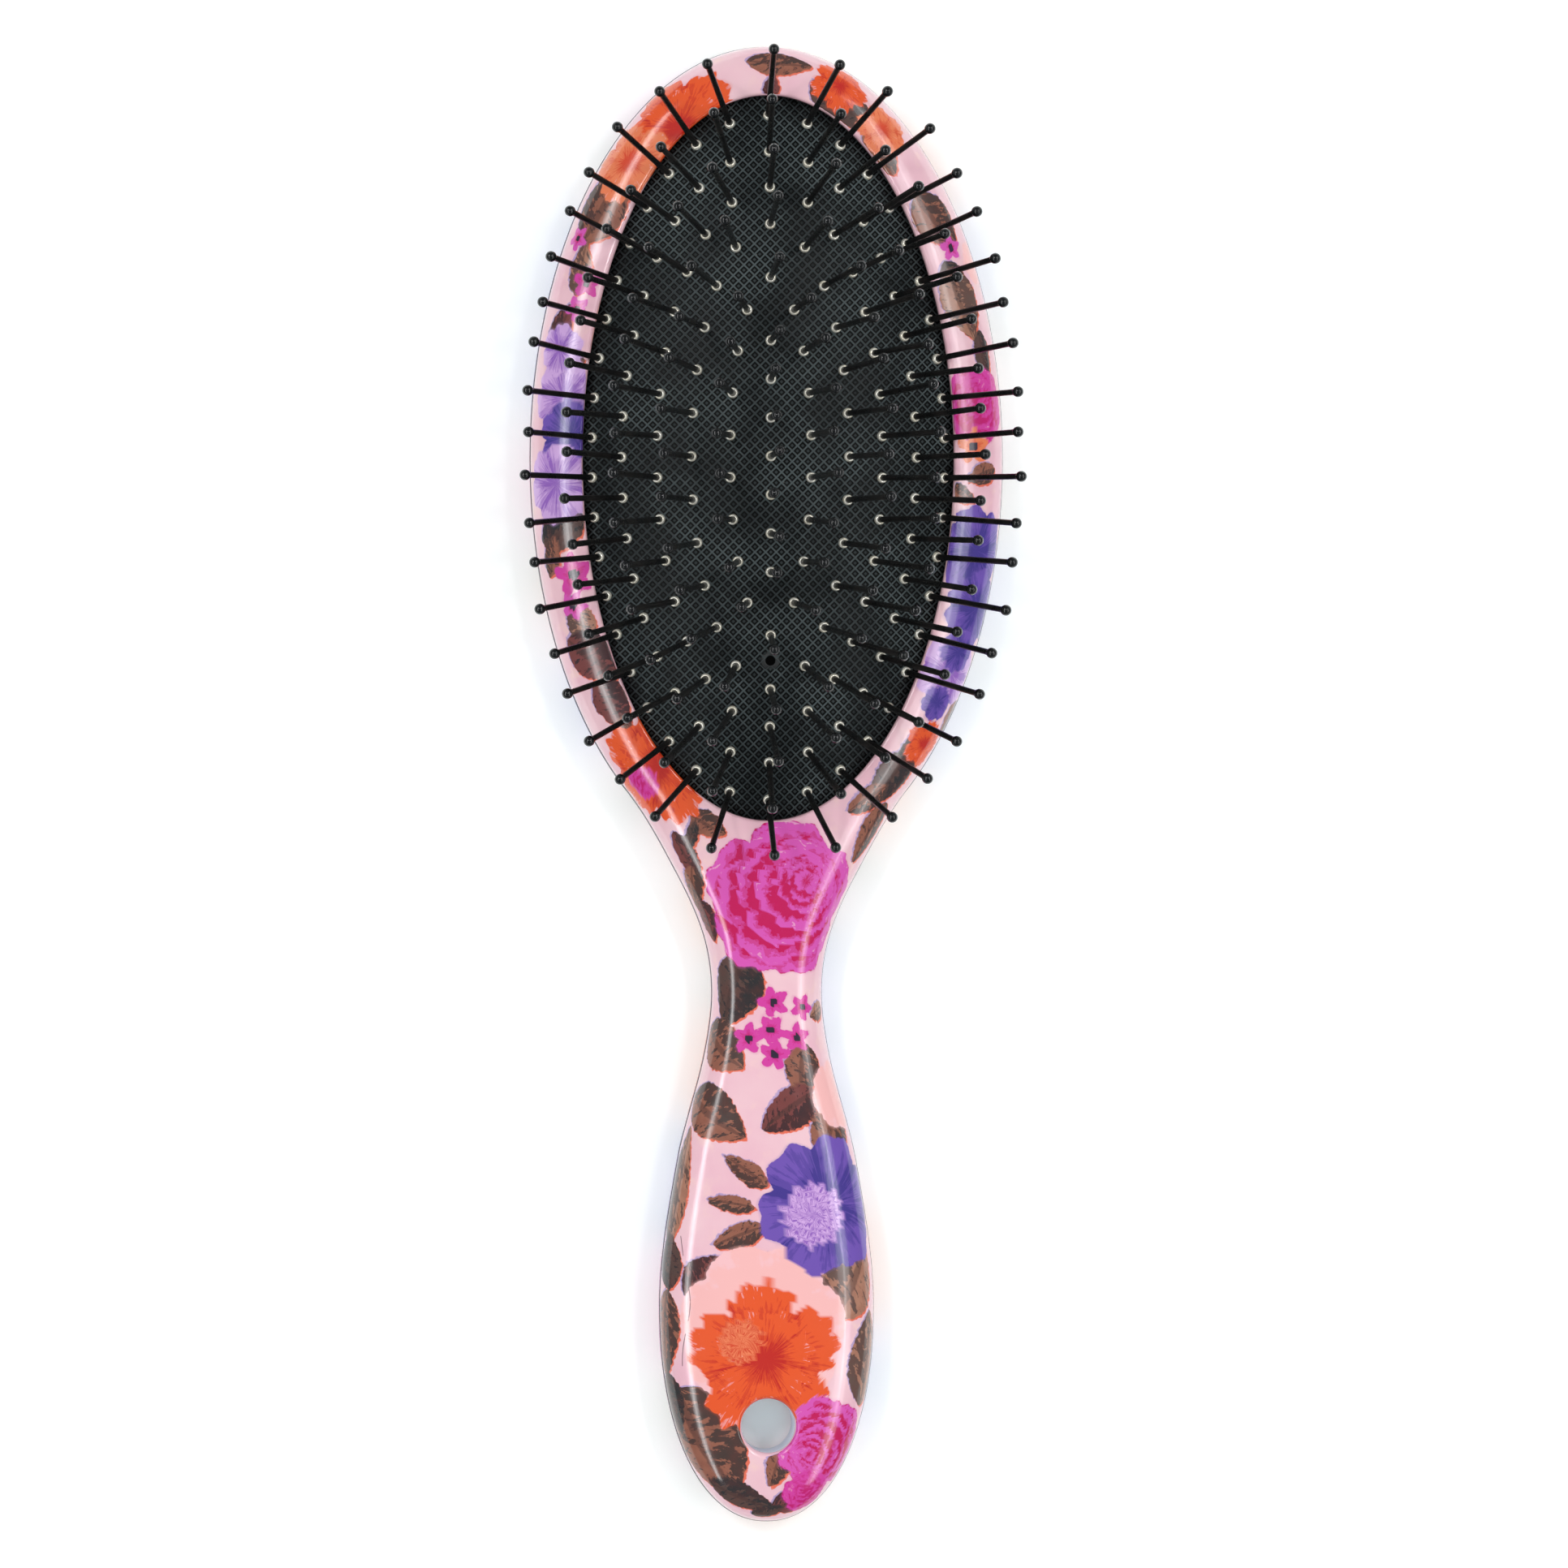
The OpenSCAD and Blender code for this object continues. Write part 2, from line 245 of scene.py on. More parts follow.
ATTRIBUTE_KINDS = {1: ("FLOAT", "value"), 3: ("FLOAT_VECTOR", "vector"), 4: ("FLOAT_COLOR", "color")}


def set_points(obj, name, values):
    """Stores a number, a vector or a colour at every vertex, by the number of columns in values."""
    kind, field = ATTRIBUTE_KINDS[values.shape[1]]
    a = obj.data.attributes.new(name, kind, "POINT")
    a.data.foreach_set(field, values.astype(np.float32).ravel())


# ---- Body shells ----

GRID = 0.45
NECK_LINE_Y = -14.0
END_LINE_Y = -87.0
# Places across the body as shares of its half-width, from right to left and closer together at the sides
ACROSS = 76
HALF_TURN = np.cos(np.linspace(0, math.pi, ACROSS + 1))
ACROSS_SHARES = np.sign(HALF_TURN) * np.abs(HALF_TURN) ** 0.8
HANG_RINGS, FRONT_RINGS, BACK_RINGS = 34, 30, 44


def side_line(y0, y1):
    """Right-hand outline from y0 to y1, evenly spaced along its length."""
    y = y0 + (y1 - y0) * np.sin(np.linspace(0, math.pi / 2, 1200))
    p = np.stack([half_width(y), y], 1)
    s = np.concatenate([[0], np.cumsum(np.linalg.norm(np.diff(p, axis=0), axis=1))])
    even = np.linspace(0, s[-1], max(2, int(s[-1] / GRID)))
    line = np.stack([np.interp(even, s, p[:, 0]), np.interp(even, s, p[:, 1])], 1)
    line[-1] = (0.0, y1) if abs(y1 - y0) > 1 and half_width(y1) < 1e-3 else p[-1]
    return line


def block_outline(line_y, tip_y):
    """A closed outline: along the right side to the tip, back on the left, then across the body.

    The second output says how strongly rings that start there cling to the outline.
    """
    right = side_line(line_y, tip_y)
    left = right[-2::-1] * (-1, 1)
    shares = ACROSS_SHARES[-2:0:-1]
    across = np.stack([half_width(line_y) * shares, np.full(ACROSS - 1, line_y)], 1)
    cling = np.concatenate([np.full(len(right) + len(left), 2.2), 1 + 1.2 * np.abs(shares) ** 8])
    return np.concatenate([right, left, across]), cling


def toward(outline, cling, inner, steps):
    """Rings of points from an outline in to an inner outline."""
    s = np.linspace(0, 1, steps + 1)[:, None, None] ** cling[None, :, None]
    return outline[None] + (inner - outline)[None] * s


def head_oval(outline, a, b):
    t = np.arctan2((outline[:, 1] - HEAD_Y) / HEAD_B, outline[:, 0] / HEAD_A)
    return np.stack([a * np.cos(t), HEAD_Y + b * np.sin(t)], 1)


def hang_circle(outline, r):
    t = np.arctan2(outline[:, 1] - HANG_Y, outline[:, 0])
    return np.stack([r * np.cos(t), HANG_Y + r * np.sin(t)], 1)


def lifted(xy, surface):
    return np.concatenate([xy, surface(xy[..., 0], xy[..., 1])[..., None]], -1)


def rounded_lip(edge, wall_xy, surface, radius, side, steps=7):
    """Rings that roll over the edge of a hole, from edge to the wall at wall_xy."""
    inward = wall_xy - edge
    inward /= np.linalg.norm(inward, axis=1, keepdims=True)
    ahead, behind = edge + inward * 0.2, edge - inward * 0.2
    rise = surface(ahead[:, 0], ahead[:, 1]) - surface(behind[:, 0], behind[:, 1])
    tilt = np.arctan(side * rise / 0.4)
    base = lifted(edge, surface)
    middle = base.copy()
    middle[:, :2] += inward * (radius * np.sin(tilt))[:, None]
    middle[:, 2] -= side * radius * np.cos(tilt)
    rings = []
    for share in np.linspace(0, 1, steps + 1)[1:]:
        angle = -tilt + (math.pi / 2 + tilt) * share
        ring = middle.copy()
        ring[:, :2] += inward * (radius * np.sin(angle))[:, None]
        ring[:, 2] += side * radius * np.cos(angle)
        rings.append(ring)
    return np.array(rings)


def straight_down(ring, curve_xy, z, steps):
    """Rings from a ring of points down to a flat outline at height z."""
    end = np.concatenate([curve_xy, np.full((len(curve_xy), 1), z)], 1)
    return np.array([ring + (end - ring) * s for s in np.linspace(0, 1, steps + 1)])


OUTSIDE, CUT, INSIDE = 0, 1, 2
LIP_R = 0.55
HANG_LIP_R = 0.9
LIP_UNDER_Z = EDGE_Z + 0.3
FRONT_GAP = 0.05
# How far each shell's edge is drawn in at the seam, and the height over which that fades
FRONT_STEP, FRONT_REACH = 0.24, 2.5
BACK_STEP, BACK_REACH = 0.1, 0.2


def seam_z(side):
    """Height of a shell's edge: the front one stops a hair above the back one."""
    return SEAM_Z + (FRONT_GAP if side > 0 else 0)


def middle_block(surface):
    """The plain stretch of neck and handle."""
    rows = int((NECK_LINE_Y - END_LINE_Y) / GRID)
    y = np.linspace(NECK_LINE_Y, END_LINE_Y, rows + 1)
    xy = np.stack(np.broadcast_arrays(half_width(y)[:, None] * ACROSS_SHARES, y[:, None]), -1)
    return lifted(xy, surface)


def hang_block(work, surface, side):
    """The rounded end of the handle, with the lip and wall of the hanging hole."""
    outline, cling = block_outline(END_LINE_Y, END_Y)
    edge = hang_circle(outline, HANG_R + HANG_LIP_R)
    rings = lifted(toward(outline, cling, edge, HANG_RINGS), surface)
    wall_xy = hang_circle(outline, HANG_R)
    lip = rounded_lip(edge, wall_xy, surface, HANG_LIP_R, side)
    wall = straight_down(lip[-1], wall_xy, seam_z(side), 6)
    work.grid(rings, OUTSIDE, True, side > 0)
    work.grid(np.concatenate([rings[-1:], lip]), OUTSIDE, True, side > 0)
    work.grid(wall, CUT, True, side > 0)


def front_head(work):
    """The rim round the cushion, with a rounded lip and a short wall down past the rubber's edge."""
    outline, cling = block_outline(NECK_LINE_Y, TOP_Y)
    wall_xy = head_oval(outline, OPENING_A, OPENING_B)
    edge = head_oval(outline, OPENING_A + 1.25 * LIP_R, OPENING_B + 1.25 * LIP_R)
    rings = lifted(toward(outline, cling, edge, FRONT_RINGS), front_z)
    lip = rounded_lip(edge, wall_xy, front_z, LIP_R, 1)
    wall = straight_down(lip[-1], wall_xy, LIP_UNDER_Z, 3)
    work.grid(rings, OUTSIDE, True)
    work.grid(np.concatenate([rings[-1:], lip, wall[1:]]), OUTSIDE, True)


def back_head(work):
    """The closed back of the head: rings in to a small oval, and more rings from that to its middle."""
    outline, cling = block_outline(NECK_LINE_Y, TOP_Y)
    core = head_oval(outline, 5.0, 9.0)
    rings = lifted(toward(outline, cling, core, BACK_RINGS), back_z)
    shares = np.linspace(1, 0, 9)[:, None, None]
    middle = np.array([0.0, HEAD_Y])
    caps = lifted(middle + (core - middle)[None] * shares, back_z)
    work.grid(rings, OUTSIDE, True, True)
    work.grid(caps, OUTSIDE, True, True)


def seam_shaped(points, normals, side):
    """Draws the shell's edge in a little at the seam, so that the joint shows as a fine line."""
    depth = np.abs(points[:, 2] - SEAM_Z)
    step, reach = (FRONT_STEP, FRONT_REACH) if side > 0 else (BACK_STEP, BACK_REACH)
    flat = normals * (1, 1, 0)
    flat /= np.maximum(np.linalg.norm(flat, axis=1, keepdims=True), 1e-9)
    near_hole = np.hypot(points[:, 0], points[:, 1] - HANG_Y) < HANG_R + 2.5
    in_opening = oval_share(points[:, 0], points[:, 1]) < 1.04
    pull = step * np.exp(-depth / reach) * np.where(near_hole | (in_opening & (side > 0)), 0, 1)
    moved = points - flat * pull[:, None]
    lift = FRONT_GAP if side > 0 else 0
    moved[:, 2] += lift * np.exp(-depth / 0.3) * np.where(near_hole, 0, 1)
    return moved


def shell(side):
    """One half of the body: its outside, lips and walls, and the points of the skin inside it."""
    surface = front_z if side > 0 else back_z
    work = Patchwork()
    head = front_head if side > 0 else back_head
    head(work)
    work.grid(middle_block(surface), OUTSIDE, False, side < 0)
    hang_block(work, surface, side)
    points, quads, kinds = work.welded()
    normals = vertex_normals(points, quads)
    if np.mean(normals[:, 2]) * side < 0:
        quads, normals = quads[:, ::-1], -normals
    inner = points - normals * WALL * 0.9
    faces, kept = face_lists(quads)
    return seam_shaped(points, normals, side), inner, normals, faces, kinds[kept]


def boundary_edges(faces):
    """Edges with one face, in the face's own direction."""
    seen = {}
    for f in faces:
        for a, b in zip(f, f[1:] + f[:1]):
            if (b, a) in seen:
                del seen[(b, a)]
            else:
                seen[(a, b)] = True
    return list(seen)


def closed_shell(name, side, materials):
    """The shell with its inside skin, joined along every open edge."""
    points, inner, normals, faces, kinds = shell(side)
    n = len(points)
    within = np.maximum if side > 0 else np.minimum
    inner[:, 2] = within(inner[:, 2], seam_z(side))
    skin = [[v + n for v in reversed(f)] for f in faces]
    strips = [[b, a, a + n, b + n] for a, b in boundary_edges(faces)]
    every = faces + skin + strips
    slots = np.concatenate([kinds, np.full(len(skin) + len(strips), INSIDE)])
    obj = mesh_object(name, np.concatenate([points, inner]), every, materials, slots, 38)
    return obj, points, normals


# ---- Floral print ----
# Flat colours as the film shows them, in sRGB from 0 to 255

PINK = (243, 200, 208)
MAGENTA = ((196, 0, 86), (218, 84, 180))
FUCHSIA = ((196, 10, 110), (214, 60, 160))
VIOLET = ((66, 50, 140), (112, 80, 176))
LILAC = ((150, 100, 190), (212, 170, 226))
ORANGE = ((196, 34, 22), (234, 86, 32))
CORAL = ((216, 70, 40), (238, 128, 84))
PEACH = ((246, 170, 165), (250, 188, 186))
BROWN = ((70, 52, 47), (152, 95, 75))
MAROON = ((60, 34, 38), (122, 62, 60))
TAN = ((98, 74, 66), (176, 124, 101))
CHARCOAL = ((38, 38, 40), (84, 62, 56))


def linear(colour):
    c = np.array(colour, float) / 255
    return np.where(c <= 0.04045, c / 12.92, ((c + 0.055) / 1.055) ** 2.4)


# Leaves: x, y, length, width, direction in degrees, colours. Placed along the body.
FRONT_LEAVES = [
    (-5.6, -32.8, 12, 9.5, 250, CHARCOAL), (-8.2, -41.6, 11, 8, 320, BROWN),
    (5.6, -45.4, 8.5, 6.2, 265, BROWN), (3.4, -51.8, 11, 6.6, 215, MAROON),
    (-9.4, -52.2, 14, 8.4, 325, BROWN), (10.4, -55.6, 10, 8, 250, BROWN),
    (-3.6, -61.4, 8.6, 3.6, 145, BROWN), (-6, -66.6, 8, 2.8, 170, BROWN),
    (-4.8, -71.8, 9, 4, 200, BROWN), (3.2, -77, 4.6, 2.6, 250, BROWN),
    (-0.5, -75, 2.4, 1.2, 200, BROWN), (-10, -78.2, 9.5, 7, 40, MAROON),
    (13.6, -78.6, 14, 11, 60, TAN), (17.6, -91.5, 16, 9, 84, TAN),
    (-18.6, -87.6, 15, 8, 265, BROWN), (-16.4, -63.6, 20, 6.4, 79, TAN),
    (-17.6, -75.4, 10, 6.6, 100, CHARCOAL), (-10.2, -104.8, 20, 15, 300, BROWN),
    (-17.4, -99, 11, 7, 285, CHARCOAL), (5, -99.6, 6.5, 4, 235, TAN),
    (-4.6, -113.4, 12, 5, 340, CHARCOAL), (4.5, -114.6, 8, 5, 10, MAROON),
    (1.5, -108.5, 7, 4, 250, BROWN), (0, -116.5, 6, 3, 20, CHARCOAL),
    (1.9, 115, 11, 5, 355, BROWN), (0.5, 110.6, 5, 2.6, 80, MAROON),
    (9.2, 108.6, 8, 4, 300, CHARCOAL), (14, 106.6, 10, 5.4, 330, CHARCOAL),
    (18, 100.5, 9, 5, 300, BROWN), (-26.6, 92.6, 15, 9, 60, BROWN),
    (-24.6, 98, 7, 4, 120, CHARCOAL), (-30.2, 82, 9, 4, 80, TAN),
    (-33.6, 72.8, 8, 4.4, 60, MAROON), (-33, 40.2, 10, 6, 25, CHARCOAL),
    (-35.2, 36, 7, 3.6, 80, BROWN), (-31.5, 66.5, 5, 3, 20, BROWN),
    (-30.2, 26, 8, 5, 110, TAN), (-28, 20, 11, 7.6, 330, MAROON),
    (-25, 12.6, 9, 6.4, 300, MAROON), (-23.5, 8, 6, 3.4, 250, BROWN),
    (27.2, 89.6, 11, 7.6, 310, BROWN), (30, 80.2, 7, 4.4, 300, CHARCOAL),
    (31.2, 76.4, 12, 7, 290, TAN), (35.2, 68, 9, 3.6, 280, CHARCOAL),
    (34.6, 49.2, 6, 3.6, 200, BROWN), (31, 46, 5, 3, 330, BROWN),
    (32.4, 27, 8, 5.2, 200, CHARCOAL), (31.8, 9, 7, 3.8, 240, BROWN),
    (24.4, 5.4, 9, 5.6, 60, CHARCOAL), (20, 0.6, 11, 6.4, 230, CHARCOAL),
    (16, -2.6, 8, 4, 210, BROWN), (17.2, -8.4, 11, 5, 240, BROWN),
    (-9.6, -6.4, 6.6, 4, 330, BROWN), (-13.2, -12.2, 10, 4, 300, MAROON),
    (-13.2, -17.2, 8, 4.6, 260, BROWN), (-10.8, -22.2, 7, 4.8, 290, MAROON),
    (-12.4, -8.6, 5.4, 2.2, 255, CHARCOAL), (9.6, -36, 5, 3, 200, TAN),
]

# Flowers: kind, x, y, radius, direction in degrees, colours
FRONT_FLOWERS = [
    ("soft", -1, -86.5, 13.6, 20, PEACH), ("soft", 12.6, -49, 5.6, 0, PEACH),
    ("soft", -22.5, 72, 5, 0, PEACH), ("soft", 36, 84, 4, 0, PEACH),
    ("rose", 2.2, -18.2, 12.6, 35, MAGENTA),
    ("star", -3.2, -40.4, 2.6, 10, FUCHSIA), ("star", 0.4, -39, 2.5, 50, FUCHSIA),
    ("star", 1, -43, 2.6, 80, FUCHSIA), ("star", 4.6, -40.2, 2.4, 20, FUCHSIA),
    ("star", 0.8, -34.6, 2.6, 35, FUCHSIA), ("star", 5.6, -35.4, 2.2, 65, FUCHSIA),
    ("bell", 9.4, -66.8, 11.2, 15, VIOLET), ("button", 7.2, -68.4, 5, 0, LILAC),
    ("fringe", -0.6, -91.2, 12.2, 30, ORANGE), ("button", -4.4, -88.6, 3.4, 0, CORAL),
    ("rose", 9.4, -105.4, 8.2, 200, MAGENTA), ("rose", 6.5, -113.2, 4.2, 120, FUCHSIA),
    ("fringe", -14.2, 104.2, 10.4, 60, ORANGE), ("fringe", -22.6, 99, 7, 110, CORAL),
    ("fringe", 11.8, 111.4, 5, 200, ORANGE), ("fringe", 18.6, 104.2, 4.6, 250, CORAL),
    ("star", -29, 79.6, 2.6, 10, FUCHSIA), ("star", -30.6, 75.4, 2.2, 40, MAGENTA),
    ("star", -31.4, 87, 2.2, 40, MAGENTA),
    ("bell", -32.6, 61.2, 6.2, 70, LILAC), ("bell", -31.4, 55.4, 5.8, 100, VIOLET),
    ("bell", -34, 47.6, 6.4, 20, LILAC), ("bell", -33.6, 69, 4.2, 20, LILAC),
    ("star", -31.2, 33.2, 3.6, 30, FUCHSIA), ("star", -31.2, 28.2, 2.4, 0, MAGENTA),
    ("fringe", -17.6, 2.6, 9.6, 310, ORANGE), ("rose", -20.4, -0.2, 3, 0, FUCHSIA),
    ("rose", 33.6, 60, 6.6, 80, FUCHSIA), ("star", 33, 53.6, 3, 20, CORAL),
    ("bell", 33.6, 37, 7.2, 40, VIOLET), ("bell", 34.4, 27.6, 6.4, 80, VIOLET),
    ("bell", 29.6, 17.4, 6.2, 10, LILAC), ("bell", 31, 20.8, 3.6, 60, VIOLET),
    ("bell", 27.4, 12.6, 3, 60, VIOLET), ("fringe", 25.8, 5.8, 4, 140, ORANGE),
    ("star", 29.6, 85.4, 2.2, 30, MAGENTA),
]


def spaced_out(seed, count, gap):
    """Places spread over the back of the body, no two nearer than gap."""
    rng = np.random.RandomState(seed)
    places = []
    while len(places) < count:
        x, y = rng.uniform(-40, 40), rng.uniform(END_Y - 4, TOP_Y + 4)
        if abs(x) > half_width(np.clip(y, END_Y, TOP_Y)) + 4:
            continue
        if all(math.hypot(x - p[0], y - p[1]) > gap for p in places):
            places.append((x, y))
        gap *= 0.9995
    return places, rng


def back_motifs():
    """The same flowers and leaves as on the front, strewn over the back."""
    places, rng = spaced_out(11, 34, 17.5)
    kinds = [("rose", MAGENTA), ("fringe", ORANGE), ("bell", VIOLET), ("bell", LILAC), ("fringe", CORAL)]
    flowers, leaves = [], []
    for i, (x, y) in enumerate(places):
        kind, colours = kinds[i % len(kinds)]
        size = rng.uniform(7, 11.5)
        flowers.append((kind, x, y, size, rng.uniform(0, 360), colours))
        if kind == "bell":
            flowers.append(("button", x, y, size * 0.45, 0, LILAC if colours is VIOLET else VIOLET))
        if kind == "fringe":
            flowers.append(("button", x, y, size * 0.3, 0, CORAL))
    for x, y in spaced_out(5, 110, 8.6)[0]:
        colours = [BROWN, MAROON, TAN, CHARCOAL][rng.randint(4)]
        leaves.append((x, y, rng.uniform(8, 14), rng.uniform(4, 7.5), rng.uniform(0, 360), colours))
    for x, y in spaced_out(8, 46, 10.5)[0]:
        flowers.append(("star", x, y, rng.uniform(2, 3), rng.uniform(0, 90), FUCHSIA))
    flowers.sort(key=lambda f: f[0] != "star")
    return leaves, flowers


def turned(x, y, cx, cy, degrees):
    c, s = math.cos(math.radians(degrees)), math.sin(math.radians(degrees))
    dx, dy = x - cx, y - cy
    return dx * c + dy * s, dy * c - dx * s


def leaf_shape(x, y, leaf):
    """Distance inside a toothed, pointed leaf, and the place along and across it from -1 to 1."""
    cx, cy, length, width, degrees, _ = leaf
    u, v = turned(x, y, cx, cy, degrees)
    u = u / (length / 2)
    inside = np.clip(1 - u * u, 0, 1)
    teeth = 0.07 * np.abs(((u * 5.5 + 0.3 * np.sign(v)) % 1.0) - 0.35)
    w = width / 2 * (inside**0.75 * (1 - 0.28 * u) * (1 - teeth * 1.5))
    d = np.minimum(w - np.abs(v), (1 - np.abs(u)) * length / 2)
    return d, u, v / np.maximum(w, 0.2)


def polar(u, v):
    return np.hypot(u, v), np.arctan2(v, u)


# Rings of a rose from the outside in: size, petals, turn, shift of the middle
ROSE_RINGS = [
    (1.0, 5, 0.4, 0.0), (0.86, 5, 1.3, 0.05), (0.68, 4, 2.6, 0.13), (0.52, 4, 0.6, 0.22),
    (0.36, 3, 2.0, 0.32), (0.25, 3, 0.3, 0.36), (0.15, 2, 1.0, 0.38),
]


def rose_shape(u, v, r):
    """Broad overlapping petals, deep at their feet and pale at their rims, round an off-centre heart."""
    shade, around = np.zeros(u.shape), np.zeros(u.shape)
    for k, (size, petals, turn, shift) in enumerate(ROSE_RINGS):
        rr, th = polar(u - shift * r, v)
        lobe = np.abs(np.cos(petals * (th + turn) / 2))
        edge = r * size * (0.84 + 0.16 * lobe**0.5 + 0.025 * np.cos(11 * th + k) + 0.015 * np.cos(23 * th))
        if k == 0:
            inside = edge - rr
        foot = 0.9 * ROSE_RINGS[k + 1][0] / size if k < 6 else 0.0
        share = np.clip((rr / edge - foot) / (1 - foot), 0, 1)
        level = 0.04 + 0.94 * share ** (0.9 + 0.25 * (k % 3)) * (0.55 + 0.45 * lobe)
        shade = np.where(rr < edge, level, shade)
        around = np.where(rr < edge, th * 4.5 + k * 3.1, around)
    return inside, shade, around


def fringe_shape(u, v, r):
    """Two rings of petals with torn tips."""
    rr, th = polar(u, v)
    torn = 0.09 * np.abs(((th * 31 / (2 * math.pi)) % 1.0) - 0.5) + 0.05 * np.cos(19 * th)
    lobe, inner_lobe = np.abs(np.cos(2.5 * th + 0.4)) ** 0.6, np.abs(np.cos(3.5 * th + 1.1)) ** 0.6
    outer = r * (0.68 + 0.3 * lobe + torn)
    inner = r * (0.42 + 0.2 * inner_lobe + torn)
    out = 0.3 + 0.7 * (rr - inner * 0.8) / np.maximum(outer - inner * 0.8, 0.1)
    shade = np.where(rr < inner, rr / inner * (0.4 + 0.6 * inner_lobe), out * (0.35 + 0.65 * lobe))
    return outer - rr, np.clip(shade, 0, 0.95), th * 14


def bell_shape(u, v, r):
    """Five or six broad, wavy petals."""
    rr, th = polar(u, v)
    edge = r * (0.8 + 0.2 * np.abs(np.cos(3 * th)) ** 0.5 + 0.035 * np.cos(13 * th + 1))
    fold = np.abs(np.cos(3 * th)) ** 0.6
    return edge - rr, np.clip(0.15 + 0.6 * rr / edge * fold, 0, 1), th * 9


def button_shape(u, v, r):
    """The round middle of a flower, broken up by short strokes."""
    rr, th = polar(u, v)
    edge = r * (1 + 0.08 * np.cos(15 * th) + 0.05 * np.cos(8 * th + 1))
    row = rr / 1.25 + 0.22 * np.cos(5 * th)
    return edge - rr, 0.3 + 0.28 * (row % 1), th * 8 + np.floor(row) * 5.3


def star_shape(u, v, r):
    """Five points with a dark eye."""
    rr, th = polar(u, v)
    edge = r * (0.55 + 0.45 * np.abs(np.cos(2.5 * th)) ** 1.6 + 0.05 * np.cos(11 * th))
    return edge - rr, np.clip(0.1 + 0.8 * rr / edge, 0, 1), th * 6


def soft_shape(u, v, r):
    """Pale scalloped petals, hardly darker than the ground."""
    rr, th = polar(u, v)
    edge = r * (0.86 + 0.14 * np.abs(np.cos(3.5 * th + 0.6)) ** 0.5)
    return edge - rr, np.clip(0.5 + 0.5 * rr / edge, 0, 1), th * 3


SHAPES = {
    "rose": rose_shape, "fringe": fringe_shape, "bell": bell_shape,
    "button": button_shape, "star": star_shape, "soft": soft_shape,
}
STREAKS = {"rose": 0.5, "fringe": 0.5, "bell": 0.45, "button": 1.0, "star": 0.3, "soft": 0.15}
MISPRINT = 0.28
FAR = -9.0  # distance inside a motif, where there's none near


def coloured(n, colours):
    """A dark and a light column of n equal colours, with alpha 1."""
    both = np.ones((2, n, 4))
    both[:, :, :3] = linear(colours)[:, None]
    return both


def leaf_fields(x, y, leaves):
    """Fields of the leaves: distances for the film's three inks, the place in the leaf, and its colours."""
    n = len(x)
    inks = np.full((n, 3), FAR)
    place = np.zeros((n, 3))
    dark, light = coloured(n, BROWN)
    shifts = [(0, 0), (-MISPRINT, MISPRINT), (MISPRINT, -MISPRINT * 0.7)]
    for number, leaf in enumerate(leaves):
        near = np.hypot(x - leaf[0], y - leaf[1]) < leaf[2] * 0.5 + 2.5
        i = np.nonzero(near)[0]
        for ink, (sx, sy) in enumerate(shifts):
            d, u, v = leaf_shape(x[i] + sx, y[i] + sy, leaf)
            if ink == 0:
                top = (d > 0) | (d > inks[i, 0])
                j = i[top]
                place[j] = np.stack([u[top], v[top], np.full(len(j), (number * 0.37) % 1)], 1)
                dark[j, :3], light[j, :3] = linear(leaf[5])
            inks[i, ink] = np.maximum(inks[i, ink], d)
    return inks, place, dark, light


def flower_fields(x, y, flowers):
    """Fields of the flowers: distance inside, shade, place round the flower, and colours."""
    n = len(x)
    form = np.zeros((n, 3))
    form[:, 0] = FAR
    deep, light = coloured(n, PEACH)
    deep[:, 3] = 0
    for number, (kind, cx, cy, r, degrees, colours) in enumerate(flowers):
        i = np.nonzero(np.hypot(x - cx, y - cy) < r * 1.4 + 2)[0]
        u, v = turned(x[i], y[i], cx, cy, degrees)
        d, shade, around = SHAPES[kind](u, v, r)
        top = (d > 0) | (d > form[i, 0])
        j = i[top]
        form[j] = np.stack([d[top], shade[top], around[top] + number * 3.1], 1)
        deep[j, :3], light[j, :3] = linear(colours)
        deep[j, 3] = STREAKS[kind]
        light[j, 3] = np.where(np.hypot(u, v)[top] < 0.26 * r, 0.0, 1.0) if kind == "star" else 1.0
    return form, deep, light


LET_OUT = 4.2  # how far the film is let out where the surface stands upright


def unrolled(points, normals):
    """Film coordinates: plan view, let out over the steep sides so that the print doesn't smear there."""
    flat = normals[:, :2]
    steep = np.linalg.norm(flat, axis=1, keepdims=True)
    way = flat / np.maximum(steep, 1e-9)
    return points[:, :2] + way * LET_OUT * steep**3


OVERLAP_LOW, OVERLAP_BEND, OVERLAP_HIGH = -101, -84, -52
NO_OVERLAP = 9.0
FILM_SCALE = 0.1


def film_overlap(x, y):
    """Distance from the wavy line down the handle's left side where the film's edges meet."""
    wave = 0.8 * np.sin(y / 7.0) + 0.3 * np.sin(y / 2.3)
    bend = 0.012 * (y - OVERLAP_BEND) ** 2 * (y > OVERLAP_BEND)
    return np.where((y < OVERLAP_HIGH) & (y > OVERLAP_LOW), x + 13.4 - wave + bend, NO_OVERLAP)


